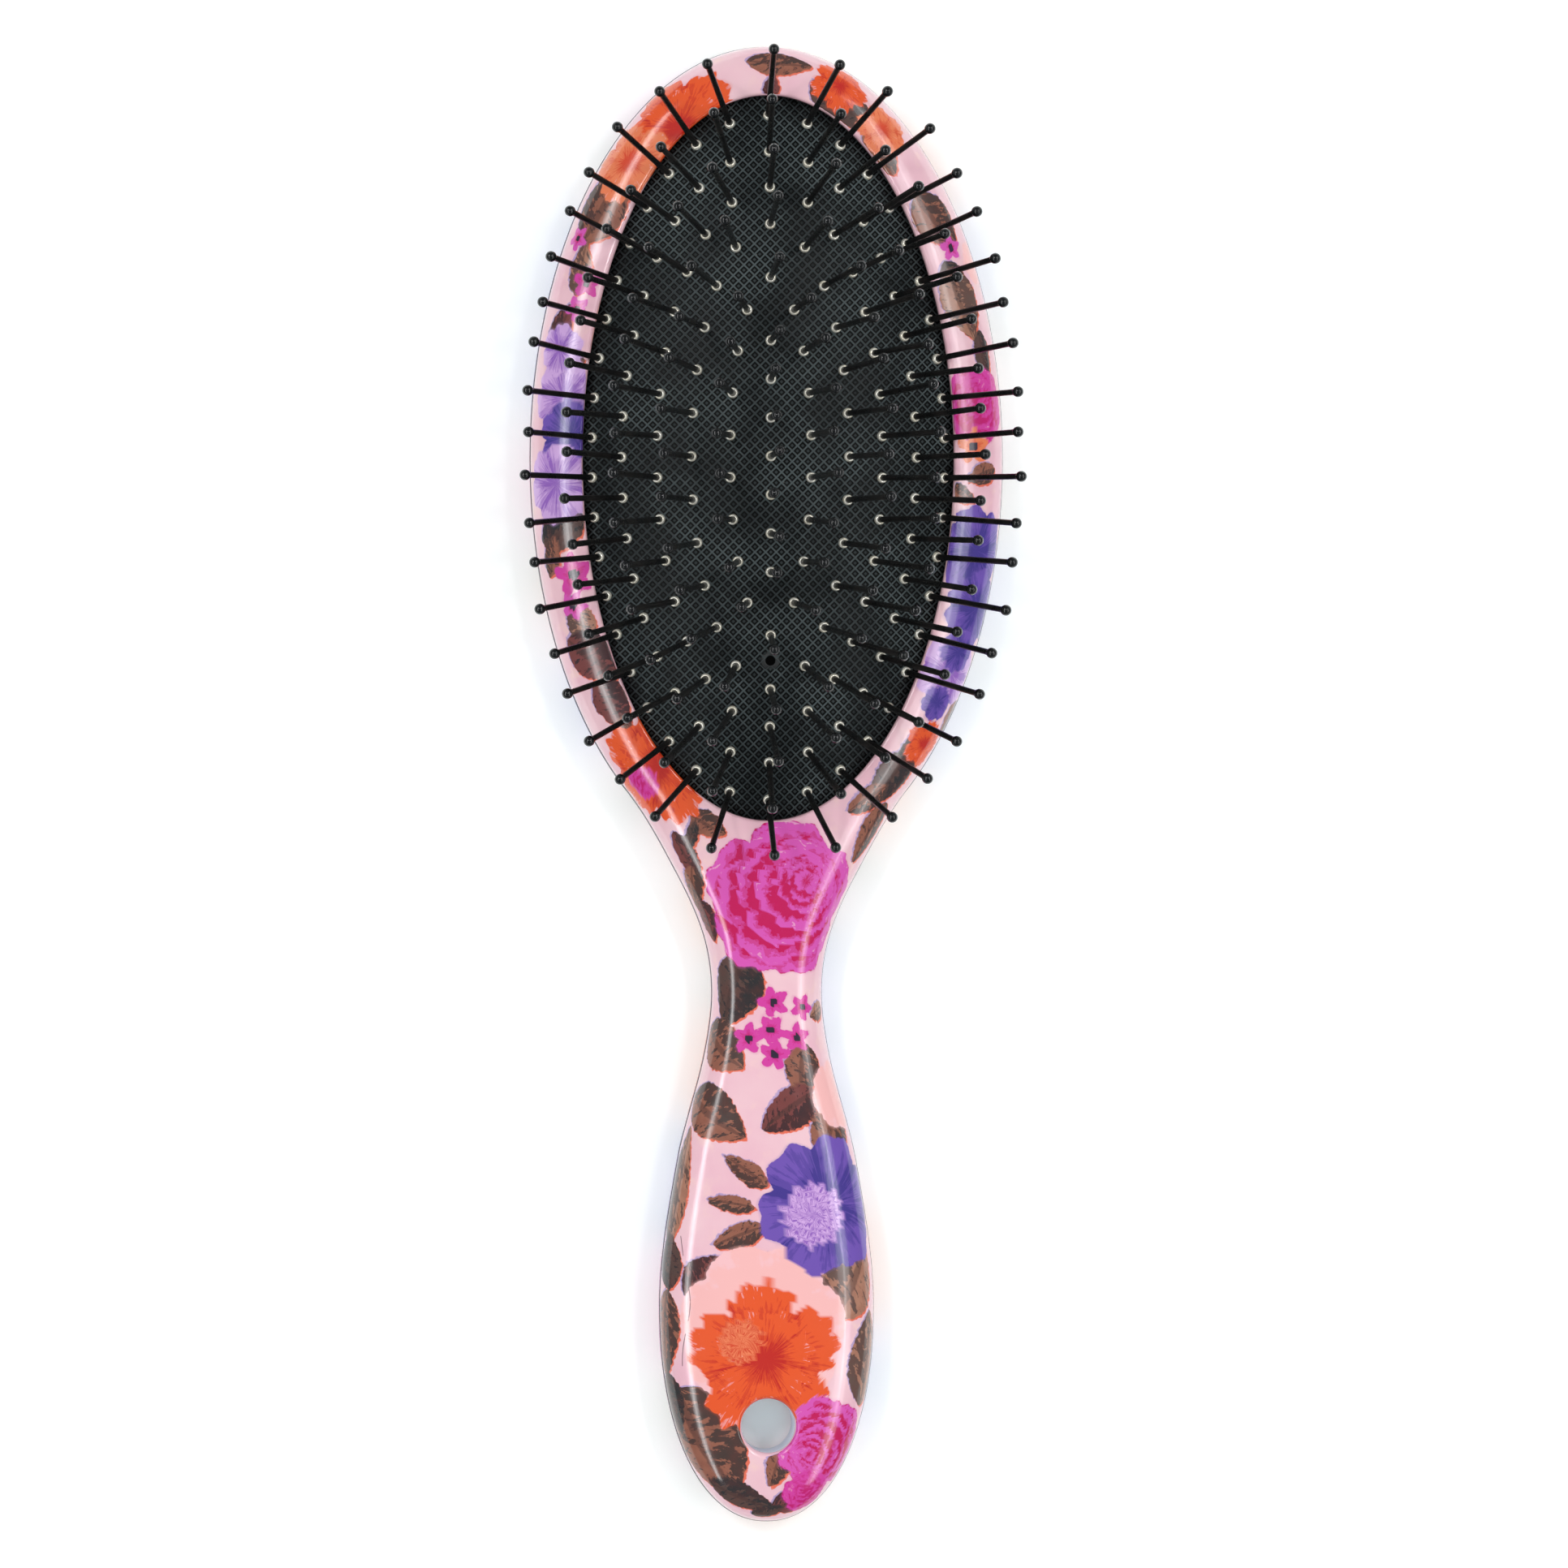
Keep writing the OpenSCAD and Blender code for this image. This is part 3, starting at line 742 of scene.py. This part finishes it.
def add_print(obj, points, normals, leaves, flowers):
    """Stores the print on a shell's outside. The vertices after those are its inside, which has none."""
    film = unrolled(points, normals)
    x, y = film[:, 0], film[:, 1]
    inks, place, leaf_dark, leaf_light = leaf_fields(x, y, leaves)
    form, deep, light = flower_fields(x, y, flowers)
    fields = {
        "film": np.pad(film, ((0, 0), (0, 1))) * FILM_SCALE,
        "leaf_inks": inks,
        "seam_distance": np.abs(points[:, 2:] - SEAM_Z),
        "film_overlap": film_overlap(x, y)[:, None],
        "leaf_place": place,
        "flower_form": form,
        "leaf_dark": leaf_dark,
        "leaf_light": leaf_light,
        "flower_deep": deep,
        "flower_light": light,
    }
    for name, values in fields.items():
        whole = np.zeros((len(obj.data.vertices), values.shape[1]))
        whole[: len(values)] = values
        set_points(obj, name, whole)


# ---- Materials ----


class Nodes:
    """Short ways to add the nodes that the materials here use."""

    def __init__(self, name):
        self.material = bpy.data.materials.new(name)
        self.material.use_nodes = True
        self.tree = self.material.node_tree
        self.tree.nodes.clear()
        self.shader = self.add("BsdfPrincipled")
        self.add("OutputMaterial", Surface=self.shader.outputs[0])

    def put(self, socket, value):
        if isinstance(value, bpy.types.NodeSocket):
            self.tree.links.new(value, socket)
        else:
            socket.default_value = value

    def set(self, **values):
        for name, value in values.items():
            self.put(self.shader.inputs[name.replace("_", " ")], value)

    def add(self, kind, **values):
        n = self.tree.nodes.new(f"ShaderNode{kind}")
        for name, value in values.items():
            self.put(n.inputs[name], value)
        return n

    def attribute(self, name, output="Fac"):
        n = self.add("Attribute")
        n.attribute_name = name
        return n.outputs[output]

    def math(self, kind, a, b=0.5):
        n = self.add("Math")
        n.operation = kind
        self.put(n.inputs[0], a)
        self.put(n.inputs[1], b)
        return n.outputs[0]

    def plus(self, a, b):
        return self.math("ADD", a, b)

    def minus(self, a, b):
        return self.math("SUBTRACT", a, b)

    def times(self, a, b):
        return self.math("MULTIPLY", a, b)

    def split(self, vector):
        return self.add("SeparateXYZ", Vector=vector).outputs

    def join(self, x, y, z):
        return self.add("CombineXYZ", X=x, Y=y, Z=z).outputs[0]

    def noise(self, where, scale, detail=2.0, rough=0.5):
        return self.add("TexNoise", Vector=where, Scale=scale, Detail=detail, Roughness=rough).outputs["Fac"]

    def cells(self, where, scale):
        return self.add("TexVoronoi", Vector=where, Scale=scale).outputs["Distance"]

    def step(self, value, low, high, out_low=0.0, out_high=1.0):
        """A soft step as value goes from low to high."""
        n = self.add("MapRange")
        n.interpolation_type = "SMOOTHSTEP"
        for i, v in enumerate((value, low, high, out_low, out_high)):
            self.put(n.inputs[i], v)
        return n.outputs[0]

    def mix(self, share, a, b):
        """From a to b as share goes from 0 to 1; a tuple is a colour in sRGB from 0 to 255."""
        n = self.add("Mix")
        n.data_type = "RGBA"
        self.put(n.inputs[0], share)
        for socket, value in ((n.inputs[6], a), (n.inputs[7], b)):
            self.put(socket, (*linear(value), 1.0) if isinstance(value, tuple) else value)
        return n.outputs[2]

    def bump(self, height, strength, distance):
        return self.add("Bump", Height=height, Strength=strength, Distance=distance).outputs[0]

    def place(self):
        return self.add("TexCoord").outputs["Object"]


def ground_colour(n, film):
    """Pale pink ground with faint warm and cool clouds."""
    cloud = n.noise(film, 0.9, 3.0)
    colour = n.mix(n.step(cloud, 0.35, 0.7), PINK, (238, 186, 200))
    return n.mix(n.step(n.noise(film, 2.6, 4.0), 0.55, 0.8), colour, (247, 206, 202))


def leaf_colour(n, film, under):
    """Brown leaves with dark strokes, and the fringes that the film's inks leave where they miss."""
    inks = n.split(n.attribute("leaf_inks", "Vector"))
    along, across, number = n.split(n.attribute("leaf_place", "Vector"))
    wobble = n.times(n.minus(n.noise(film, 11.0, 3.0), 0.5), 1.1)
    key, warm, cool = (n.step(n.plus(inks[i], wobble), -0.1, 0.12) for i in range(3))
    grain = n.join(
        n.times(along, 2.2),
        n.plus(n.times(across, 1.1), n.times(along, -1.6)),
        n.times(number, 9.0),
    )
    strokes = n.noise(grain, 2.3, 4.0, 0.62)
    half = n.times(n.step(across, -0.2, 0.5), 0.16)
    shade = n.step(n.plus(strokes, half), 0.55, 0.6)
    vein = n.step(n.math("ABSOLUTE", n.plus(across, n.times(strokes, 0.2))), 0.1, 0.17)
    body = n.mix(shade, n.attribute("leaf_light", "Color"), n.attribute("leaf_dark", "Color"))
    tint = n.step(n.noise(film, 5.0, 3.0), 0.3, 0.75)
    body = n.mix(n.times(tint, 0.3), body, (110, 52, 44))
    body = n.mix(n.times(n.minus(1.0, vein), 0.55), body, (70, 44, 40))
    colour = n.mix(n.times(cool, 0.75), under, (158, 142, 196))
    colour = n.mix(n.times(warm, 0.9), colour, (232, 96, 52))
    return n.mix(key, colour, body)


def flower_colour(n, film, under):
    """Petals streaked from a deep base to a light edge."""
    form = n.split(n.attribute("flower_form", "Vector"))
    deep, light = n.attribute("flower_deep", "Color"), n.attribute("flower_light", "Color")
    strength, eye = n.attribute("flower_deep", "Alpha"), n.attribute("flower_light", "Alpha")
    wobble = n.times(n.minus(n.noise(film, 9.0, 3.0), 0.5), 0.9)
    on = n.step(n.plus(form[0], wobble), -0.08, 0.1)
    petal = n.join(n.times(form[2], 0.55), n.times(form[1], 1.1), 0.0)
    streaks = n.times(n.minus(n.noise(petal, 2.0, 3.0, 0.6), 0.5), n.times(strength, 2.6))
    patches = n.times(n.minus(n.noise(film, 4.0, 3.0), 0.5), 0.5)
    level = n.plus(form[1], n.plus(streaks, patches))
    middle = n.mix(0.5, deep, light)
    colour = n.mix(n.step(level, 0.28, 0.36), deep, middle)
    colour = n.mix(n.step(level, 0.46, 0.54), colour, light)
    pale = n.mix(0.42, light, (250, 205, 215))
    colour = n.mix(n.step(level, 0.94, 1.02), colour, pale)
    colour = n.mix(n.step(eye, 0.35, 0.65), (46, 30, 52), colour)
    halo = n.times(n.step(form[0], -0.5, 0.0), 0.22)
    under = n.mix(halo, under, light)
    return n.mix(on, under, colour)


def printed_film(name):
    """Glossy clear coat over the floral film, with a painted shade line along the seam, an overlap, dust and
    fine scratches.
    """
    n = Nodes(name)
    film = n.attribute("film", "Vector")
    colour = flower_colour(n, film, leaf_colour(n, film, ground_colour(n, film)))
    seam = n.attribute("seam_distance")
    # Painted shade: a dark line along the seam, where the two shells meet.
    seam_shade = n.plus(seam, n.times(n.noise(film, 6.0), 0.08))
    colour = n.mix(n.step(seam_shade, 0.04, 0.2), (84, 64, 68), colour)
    gap = n.math("ABSOLUTE", n.attribute("film_overlap"))
    broken = n.step(n.noise(film, 3.3, 3.0), 0.47, 0.52)
    line = n.times(n.minus(1.0, n.step(gap, 0.04, 0.12)), broken)
    colour = n.mix(n.times(line, 0.8), colour, (52, 40, 44))
    colour = n.mix(0.11, colour, (0, 0, 0))
    place = n.place()
    dots = n.step(n.cells(film, 34.0), 0.05, 0.09)
    speckle = n.times(n.minus(1.0, dots), n.step(n.noise(film, 3.0), 0.62, 0.7))
    colour = n.mix(n.times(speckle, 0.35), colour, (96, 60, 62))
    smears = n.noise(place, 160.0, 4.0, 0.6)
    stretched = [n.times(axis, scale) for axis, scale in zip(n.split(place), (4200.0, 260.0, 900.0))]
    scratch = n.noise(n.join(*stretched), 1.0, 2.0)
    rough = n.plus(n.step(smears, 0.35, 0.75, 0.13, 0.22), n.step(scratch, 0.66, 0.78, 0.0, 0.1))
    ripple = n.plus(n.noise(place, 420.0), n.times(n.noise(place, 2400.0), 0.22))
    n.set(Base_Color=colour, Roughness=rough, IOR=1.49, Normal=n.bump(ripple, 0.14, 0.0002))
    n.set(Coat_Weight=0.7, Coat_Roughness=0.06)
    return n.material


def toned(name, grain, contrast, colours, rough, bumps, **more):
    """A material whose colour and roughness follow one noise, under fine bumps."""
    n = Nodes(name)
    place = n.place()
    tone = n.noise(place, *grain)
    share = n.step(tone, *contrast) if contrast else tone
    colour = n.mix(share, *colours)
    scale, detail, strength, distance = bumps
    normal = n.bump(n.noise(place, scale, detail), strength, distance)
    n.set(Base_Color=colour, Roughness=n.step(tone, *rough), Normal=normal, **more)
    return n.material


def cut_plastic():
    """Unprinted blue-grey plastic, where the hanging hole goes through."""
    colours = ((222, 225, 238), (236, 238, 246))
    rough, bumps = (0.3, 0.8, 0.3, 0.45), (1500.0, 2.0, 0.15, 0.0001)
    return toned("unprinted_plastic", (300.0, 3.0), (0.3, 0.7), colours, rough, bumps)


def inner_plastic():
    """Plain moulded plastic inside the body."""
    colours = ((92, 92, 98), (128, 128, 136))
    rough, bumps = (0.2, 0.8, 0.5, 0.65), (3000.0, 2.0, 0.2, 0.0001)
    return toned("inner_plastic", (220.0, 3.0), None, colours, rough, bumps)


def rubber():
    """Satin black rubber: the raised lattice is painted paler than the near-black floors between, as painted
    highlight on the ridges and painted shade in the floors.
    """
    n = Nodes("cushion_rubber")
    place = n.place()
    raised = n.attribute("raised")
    wear = n.noise(place, 90.0, 4.0, 0.6)
    # Painted highlight and shade: ridges paler by the share raised, floors near black; the ridges' tone also
    # varies with wear.
    ridge = n.mix(n.step(wear, 0.35, 0.7), (40, 46, 47), (76, 85, 86))
    colour = n.mix(n.step(raised, 0.2, 0.9), (3, 4, 4), ridge)
    lint = n.minus(1.0, n.step(n.cells(place, 700.0), 0.05, 0.09))
    colour = n.mix(n.times(lint, n.step(wear, 0.6, 0.68, 0.0, 0.5)), colour, (150, 150, 145))
    grain = n.noise(place, 5200.0)
    n.set(
        Base_Color=colour,
        Roughness=n.step(wear, 0.25, 0.8, 0.38, 0.55),
        Normal=n.bump(grain, 0.25, 0.00006),
        Specular_IOR_Level=0.2,
    )
    return n.material


def rubber_smooth():
    """The same rubber where it has no lattice."""
    colours = ((14, 15, 15), (32, 35, 35))
    rough, bumps = (0.25, 0.8, 0.4, 0.6), (4200.0, 2.0, 0.25, 0.00006)
    return toned("rubber_smooth", (120.0, 4.0), None, colours, rough, bumps)


def vent_painted_shade():
    """Painted shade: a black surface with no reflection, standing in for the shade inside the air vent."""
    n = Nodes("vent_dark")
    n.set(Base_Color=(0.002, 0.002, 0.002, 1.0), Roughness=0.9, Specular_IOR_Level=0.0)
    return n.material


def coated_wire():
    """Satin black coating on the wires."""
    colours = ((14, 13, 13), (30, 26, 25))
    rough, bumps = (0.25, 0.8, 0.22, 0.38), (2600.0, 3.0, 0.3, 0.00005)
    more = {"Specular_IOR_Level": 0.35, "Coat_Weight": 0.15, "Coat_Roughness": 0.2}
    return toned("coated_wire", (260.0, 3.0), (0.4, 0.75), colours, rough, bumps, **more)


def ball_enamel():
    """Black balls whose gloss comes from their clear coat."""
    colours = ((2, 2, 3), (10, 9, 9))
    rough, bumps = (0.3, 0.8, 0.12, 0.24), (1600.0, 2.0, 0.12, 0.00005)
    more = {"Specular_IOR_Level": 0.05, "Coat_Weight": 1.0, "Coat_Roughness": 0.03}
    return toned("ball_enamel", (500.0, 3.0), (0.45, 0.8), colours, rough, bumps, **more)


def collar_metal():
    """Bright plated collars, half metal so that they stay light away from the lamps."""
    colours = ((250, 247, 236), (232, 225, 204))
    rough, bumps = (0.25, 0.75, 0.16, 0.32), (3500.0, 2.0, 0.2, 0.00004)
    return toned("collar_metal", (900.0, 4.0, 0.65), (0.3, 0.7), colours, rough, bumps, Metallic=0.55)


# ---- Cushion ----

LATTICE = 1.19
PIT = 0.19  # depth of the diamonds' floors below the ridges
# Squares of a cell from its border in: share of the half-pitch, depth below the dome
CELL_RINGS = [(1.0, 0.0), (0.83, 0.0), (0.73, PIT), (0.48, PIT), (0.3, 0.09)]
VENT_Y = HEAD_Y - 32.3
VENT_R = 0.8
VENT_ROOM = 0.4
UNDER_REACH = 1.045  # how far the lattice goes on under the lip
SKIN, RUBBER = 0.3, 1.5  # depths of the two faces of the membrane below the dome
LATTICED, SMOOTH, DARK = 0, 1, 2


def oval_share(x, y):
    return np.hypot(x / OPENING_A, (y - HEAD_Y) / OPENING_B)


def lattice_cells():
    """Middles of the cells that show or tuck under the lip, leaving room for the vent."""
    n = int(90 / LATTICE)
    i, j = np.meshgrid(np.arange(-n, n + 1), np.arange(-n, n + 1), indexing="ij")
    u, v = i.ravel() * LATTICE, j.ravel() * LATTICE
    x, y = (u - v) / math.sqrt(2), HEAD_Y + (u + v) / math.sqrt(2)
    keep = (oval_share(x, y) < UNDER_REACH) & (np.hypot(x, y - VENT_Y) > VENT_R + VENT_ROOM)
    return x[keep], y[keep]


def clear_of_vent(xy):
    """Corners that would hang over the vent are moved out to its edge, which cuts the lattice off there."""
    away = xy - (0.0, VENT_Y)
    far = np.linalg.norm(away, axis=-1, keepdims=True)
    return (0.0, VENT_Y) + away * np.maximum(far, VENT_R) / far


def textured_skin(work):
    """The lattice of thin ridges round sunken diamonds, each with a small stud."""
    cx, cy = lattice_cells()
    corners = np.array([(1, 0), (0, 1), (-1, 0), (0, -1)]) * LATTICE / math.sqrt(2)
    rings = []
    for share, depth in CELL_RINGS:
        xy = clear_of_vent(np.stack([cx, cy], 1)[:, None] + corners[None] * share)
        rings.append(lifted(xy, dome_z) - (0, 0, depth))
    points = np.stack(rings, 1).reshape(-1, 3)
    base = (np.arange(len(cx)) * len(CELL_RINGS) * 4)[:, None]
    quads = []
    for k in range(len(CELL_RINGS) - 1):
        for c in range(4):
            d = (c + 1) % 4
            quads.append(base + [[4 * k + c, 4 * k + d, 4 * k + 4 + d, 4 * k + 4 + c]])
    last = 4 * (len(CELL_RINGS) - 1)
    quads.append(base + [[last, last + 1, last + 2, last + 3]])
    work.add(points, np.concatenate(quads), LATTICED)


def membrane(work):
    """The smooth body of the rubber under the skin, out to the bead that the body clamps."""
    t = np.linspace(0, 2 * math.pi, 160, endpoint=False)
    shares = np.concatenate([np.linspace(0.01, 1, 26), [1.03, 1.055]])
    x = OPENING_A * shares[:, None] * np.cos(t)
    y = HEAD_Y + OPENING_B * shares[:, None] * np.sin(t)
    upper = np.stack([x, y, dome_z(x, y) - SKIN], -1)
    lower = np.stack([x, y, np.where(shares[:, None] < 0.99, dome_z(x, y) - RUBBER, PAD_LOW[2])], -1)
    work.grid(upper, LATTICED, True)
    work.grid(np.concatenate([upper[-1:], lower[::-1]]), LATTICED, True)


def vent(work):
    """The air vent: a narrow smooth edge and a shallow cup of painted shade, which hides the membrane behind
    it.
    """
    t = np.linspace(0, 2 * math.pi, 36, endpoint=False)
    profile = [(1.5, -PIT), (0.95, -0.05), (VENT_R, -0.08), (VENT_R, -0.26), (0.02, -0.27)]
    circle = np.stack([np.cos(t), np.sin(t)], -1)
    rings = np.array([lifted(circle * r + (0.0, VENT_Y), dome_z) + (0, 0, dz) for r, dz in profile])
    work.grid(rings[:3], SMOOTH, True)
    work.grid(rings[2:], DARK, True)


def build_cushion():
    """The rubber pad, fixed to the body."""
    work = Patchwork()
    textured_skin(work)
    membrane(work)
    vent(work)
    points, quads, kinds = work.welded()
    faces, kept = face_lists(quads)
    materials = [rubber(), rubber_smooth(), vent_painted_shade()]
    obj = mesh_object("cushion_rubber", points, faces, materials, kinds[kept], 25)
    depth = dome_z(points[:, 0], points[:, 1]) - points[:, 2]
    set_points(obj, "raised", np.clip(1 - depth / PIT, 0, 1)[:, None])
    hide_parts("cushion_pad")
    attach(obj, "body")
    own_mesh(obj)


# ---- Pins ----


def separate_solids(node):
    """The points of each solid of a CAD node, in millimetres."""
    mesh = frame["nodes"][node].data
    co = np.array([v.co for v in mesh.vertices], float) / MM
    spots, back = np.unique(np.round(co, 3), axis=0, return_inverse=True)
    back = back.reshape(-1)
    parent = list(range(len(spots)))

    def root(i):
        while parent[i] != i:
            parent[i] = parent[parent[i]]
            i = parent[i]
        return i

    for e in mesh.edges:
        a, b = root(back[e.vertices[0]]), root(back[e.vertices[1]])
        parent[a] = b
    groups = {}
    for i in range(len(spots)):
        groups.setdefault(root(i), []).append(i)
    return [spots[g] for g in groups.values()]


def pins_of(group):
    """Where each pin of a group leaves the rubber and which way it points, read from its CAD wire."""
    pins = []
    for solid in separate_solids(f"pin_wires_{group}"):
        middle = solid.mean(0)
        _, _, axes = np.linalg.svd(solid - middle)
        way = axes[0] * np.sign(axes[0][2])
        reach = (solid - middle) @ way
        pins.append((middle + way * (reach.max() - PIN_LENGTH), way))
    return pins


def turned_parts(name, pins, profile, segments, material):
    """The same turned profile on every pin, as one mesh."""
    t = np.linspace(0, 2 * math.pi, segments, endpoint=False)
    work = Patchwork()
    for base, way in pins:
        side = np.cross(way, (0.0, 1.0, 0.0))
        side /= np.linalg.norm(side)
        other = np.cross(way, side)
        circle = np.cos(t)[:, None] * side + np.sin(t)[:, None] * other
        work.grid(np.array([base + way * z + r * circle for r, z in profile]), 0, True, True)
    points, quads, kinds = work.welded()
    faces, kept = face_lists(quads)
    return mesh_object(name, points, faces, [material], kinds[kept], 50)


def egg(radius, stretch, middle):
    """Profile of a ball that is a little longer towards the wire."""
    t = np.linspace(0, math.pi, 13)
    r = radius * np.sin(t)
    z = -np.cos(t) * radius
    z = np.where(z < 0, z * stretch, z)
    return [(max(a, 0.0005), middle + b) for a, b in zip(r, z)]


WIRE_R = 0.475
BALL_R = 0.87
# [radius, height above the rubber], round each section
WIRE_PROFILE = [
    (0.001, -3.0), (1.0, -3.0), (1.1, -2.9), (1.1, -2.6), (1.0, -2.5), (WIRE_R + 0.02, -2.35),
    (WIRE_R, -1.0), (WIRE_R, 0.3), (WIRE_R + 0.04, 0.5), (WIRE_R + 0.01, 0.9), (WIRE_R, 2.0),
    (WIRE_R, 18.2), (WIRE_R + 0.02, 18.9), (WIRE_R + 0.08, 19.3), (WIRE_R + 0.08, 19.6), (0.001, 19.7),
]
COLLAR_PROFILE = [
    (WIRE_R, -2.3), (0.85, -2.3), (0.85, -0.5), (0.86, 0.0), (0.84, 0.14), (0.79, 0.28),
    (0.71, 0.38), (0.62, 0.43), (0.55, 0.42), (0.5, 0.36), (WIRE_R, 0.2), (WIRE_R, -2.3),
]


def build_pin_group(group, materials):
    """The wires, collars and balls of one group: profile, segments round the axis, and slot."""
    pins = pins_of(group)
    made = {
        "pin_wires": (WIRE_PROFILE, 14, "coated_wire"),
        "pin_collars": (COLLAR_PROFILE, 18, "collar_metal"),
        "ball_tips": (egg(BALL_R, 1.16, PIN_LENGTH), 20, "ball_enamel"),
    }
    for part, (profile, segments, slot) in made.items():
        obj = turned_parts(f"{part}_{group}_detail", pins, profile, segments, materials[slot])
        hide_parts(f"{part}_{group}")
        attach(obj, f"pins_{group}")


# ---- Assembly ----


def build_shells():
    """Both shells with their print, and the plain clamp ring."""
    prints = {"front": (1, FRONT_LEAVES, FRONT_FLOWERS), "back": (-1, *back_motifs())}
    cut, inside = cut_plastic(), inner_plastic()
    for word, (side, leaves, flowers) in prints.items():
        film = printed_film(f"printed_{word}")
        obj, points, normals = closed_shell(f"{word}_shell_printed", side, [film, cut, inside])
        add_print(obj, points, normals, leaves, flowers)
        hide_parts(f"{word}_shell")
        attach(obj, "body")
    ring = frame["nodes"]["clamp_ring"]
    ring.data.materials.clear()
    ring.data.materials.append(inside)


def build_pins():
    materials = {"coated_wire": coated_wire(), "collar_metal": collar_metal(), "ball_enamel": ball_enamel()}
    for body in sorted(frame["bodies"]):
        if body.startswith("pins_"):
            build_pin_group(body[len("pins_") :], materials)


# ---- Studio ----

CAMERA_DISTANCE = 1.8
FRAME_HEIGHT = 0.2492
CAMERA_TILT = 2.9
LIGHT_AIM = Vector((0.0, 0.0, 0.01))


def build_floor():
    """A white ground that glows a little."""
    corners = [(-3.0, -3.0, 0), (3.0, -3.0, 0), (3.0, 3.0, 0), (-3.0, 3.0, 0)]
    mesh = bpy.data.meshes.new("floor")
    mesh.from_pydata(corners, [], [(0, 1, 2, 3)])
    floor = in_scene("floor", mesh)
    n = Nodes("floor_white")
    n.set(Base_Color=(0.93, 0.94, 0.95, 1.0), Roughness=0.9)
    n.set(Emission_Color=(0.125, 0.165, 0.14, 1.0), Emission_Strength=1.0)
    floor.data.materials.append(n.material)


def softbox(name, place, size, power, colour=(1.0, 1.0, 1.0), in_gloss=True):
    """A rectangular light turned to the brush."""
    data = bpy.data.lights.new(name, "AREA")
    data.shape = "RECTANGLE"
    data.size, data.size_y = size
    data.energy = power
    data.color = colour
    lamp = in_scene(name, data)
    lamp.location = place
    lamp.rotation_mode = "QUATERNION"
    lamp.rotation_quaternion = (Vector(place) - LIGHT_AIM).to_track_quat("Z", "Y")
    lamp.visible_glossy = in_gloss


def build_lights():
    """A broad soft fill from above, two small lamps by the camera, and long strips at the sides.

    At each side a bright narrow strip lies on a wide dim one.
    """
    for side, word, width in ((-1, "left", 0.25), (1, "right", 0.45)):
        softbox(f"strip_{word}", (side * 1.15, 0.0, 1.25), (3.0, 0.07), 2.6)
        softbox(f"band_{word}", (side * 1.16, 0.0, 1.26), (3.0, width), 9.0)
        softbox(f"lamp_{word}", (side * 0.6, 0.45, 1.6), (0.24, 0.12), 3.0)
    softbox("overhead", (0.15, 0.1, 2.2), (4.0, 4.0), 36.5, (1.0, 0.985, 0.97), False)
    world = bpy.data.worlds.new("studio")
    world.use_nodes = True
    background = world.node_tree.nodes["Background"].inputs
    background["Color"].default_value = (0.86, 0.94, 1.0, 1.0)
    background["Strength"].default_value = 0.3
    bpy.context.scene.world = world


def build_camera():
    data = bpy.data.cameras.new("camera")
    data.sensor_width = 36.0
    data.lens = data.sensor_width * CAMERA_DISTANCE / FRAME_HEIGHT
    data.clip_start, data.clip_end = 0.05, 20.0
    camera = in_scene("camera", data)
    aim = Vector((0.0026, 0.0, 0.012))
    tilt = math.radians(CAMERA_TILT)
    camera.location = aim + Vector((-math.sin(tilt), 0.0, math.cos(tilt))) * CAMERA_DISTANCE
    camera.rotation_euler = (0.0, -tilt, 0.0)
    bpy.context.scene.camera = camera


build_camera()
build_floor()
build_lights()
build_shells()
build_cushion()
build_pins()
bpy.context.scene.view_settings.view_transform = "Standard"
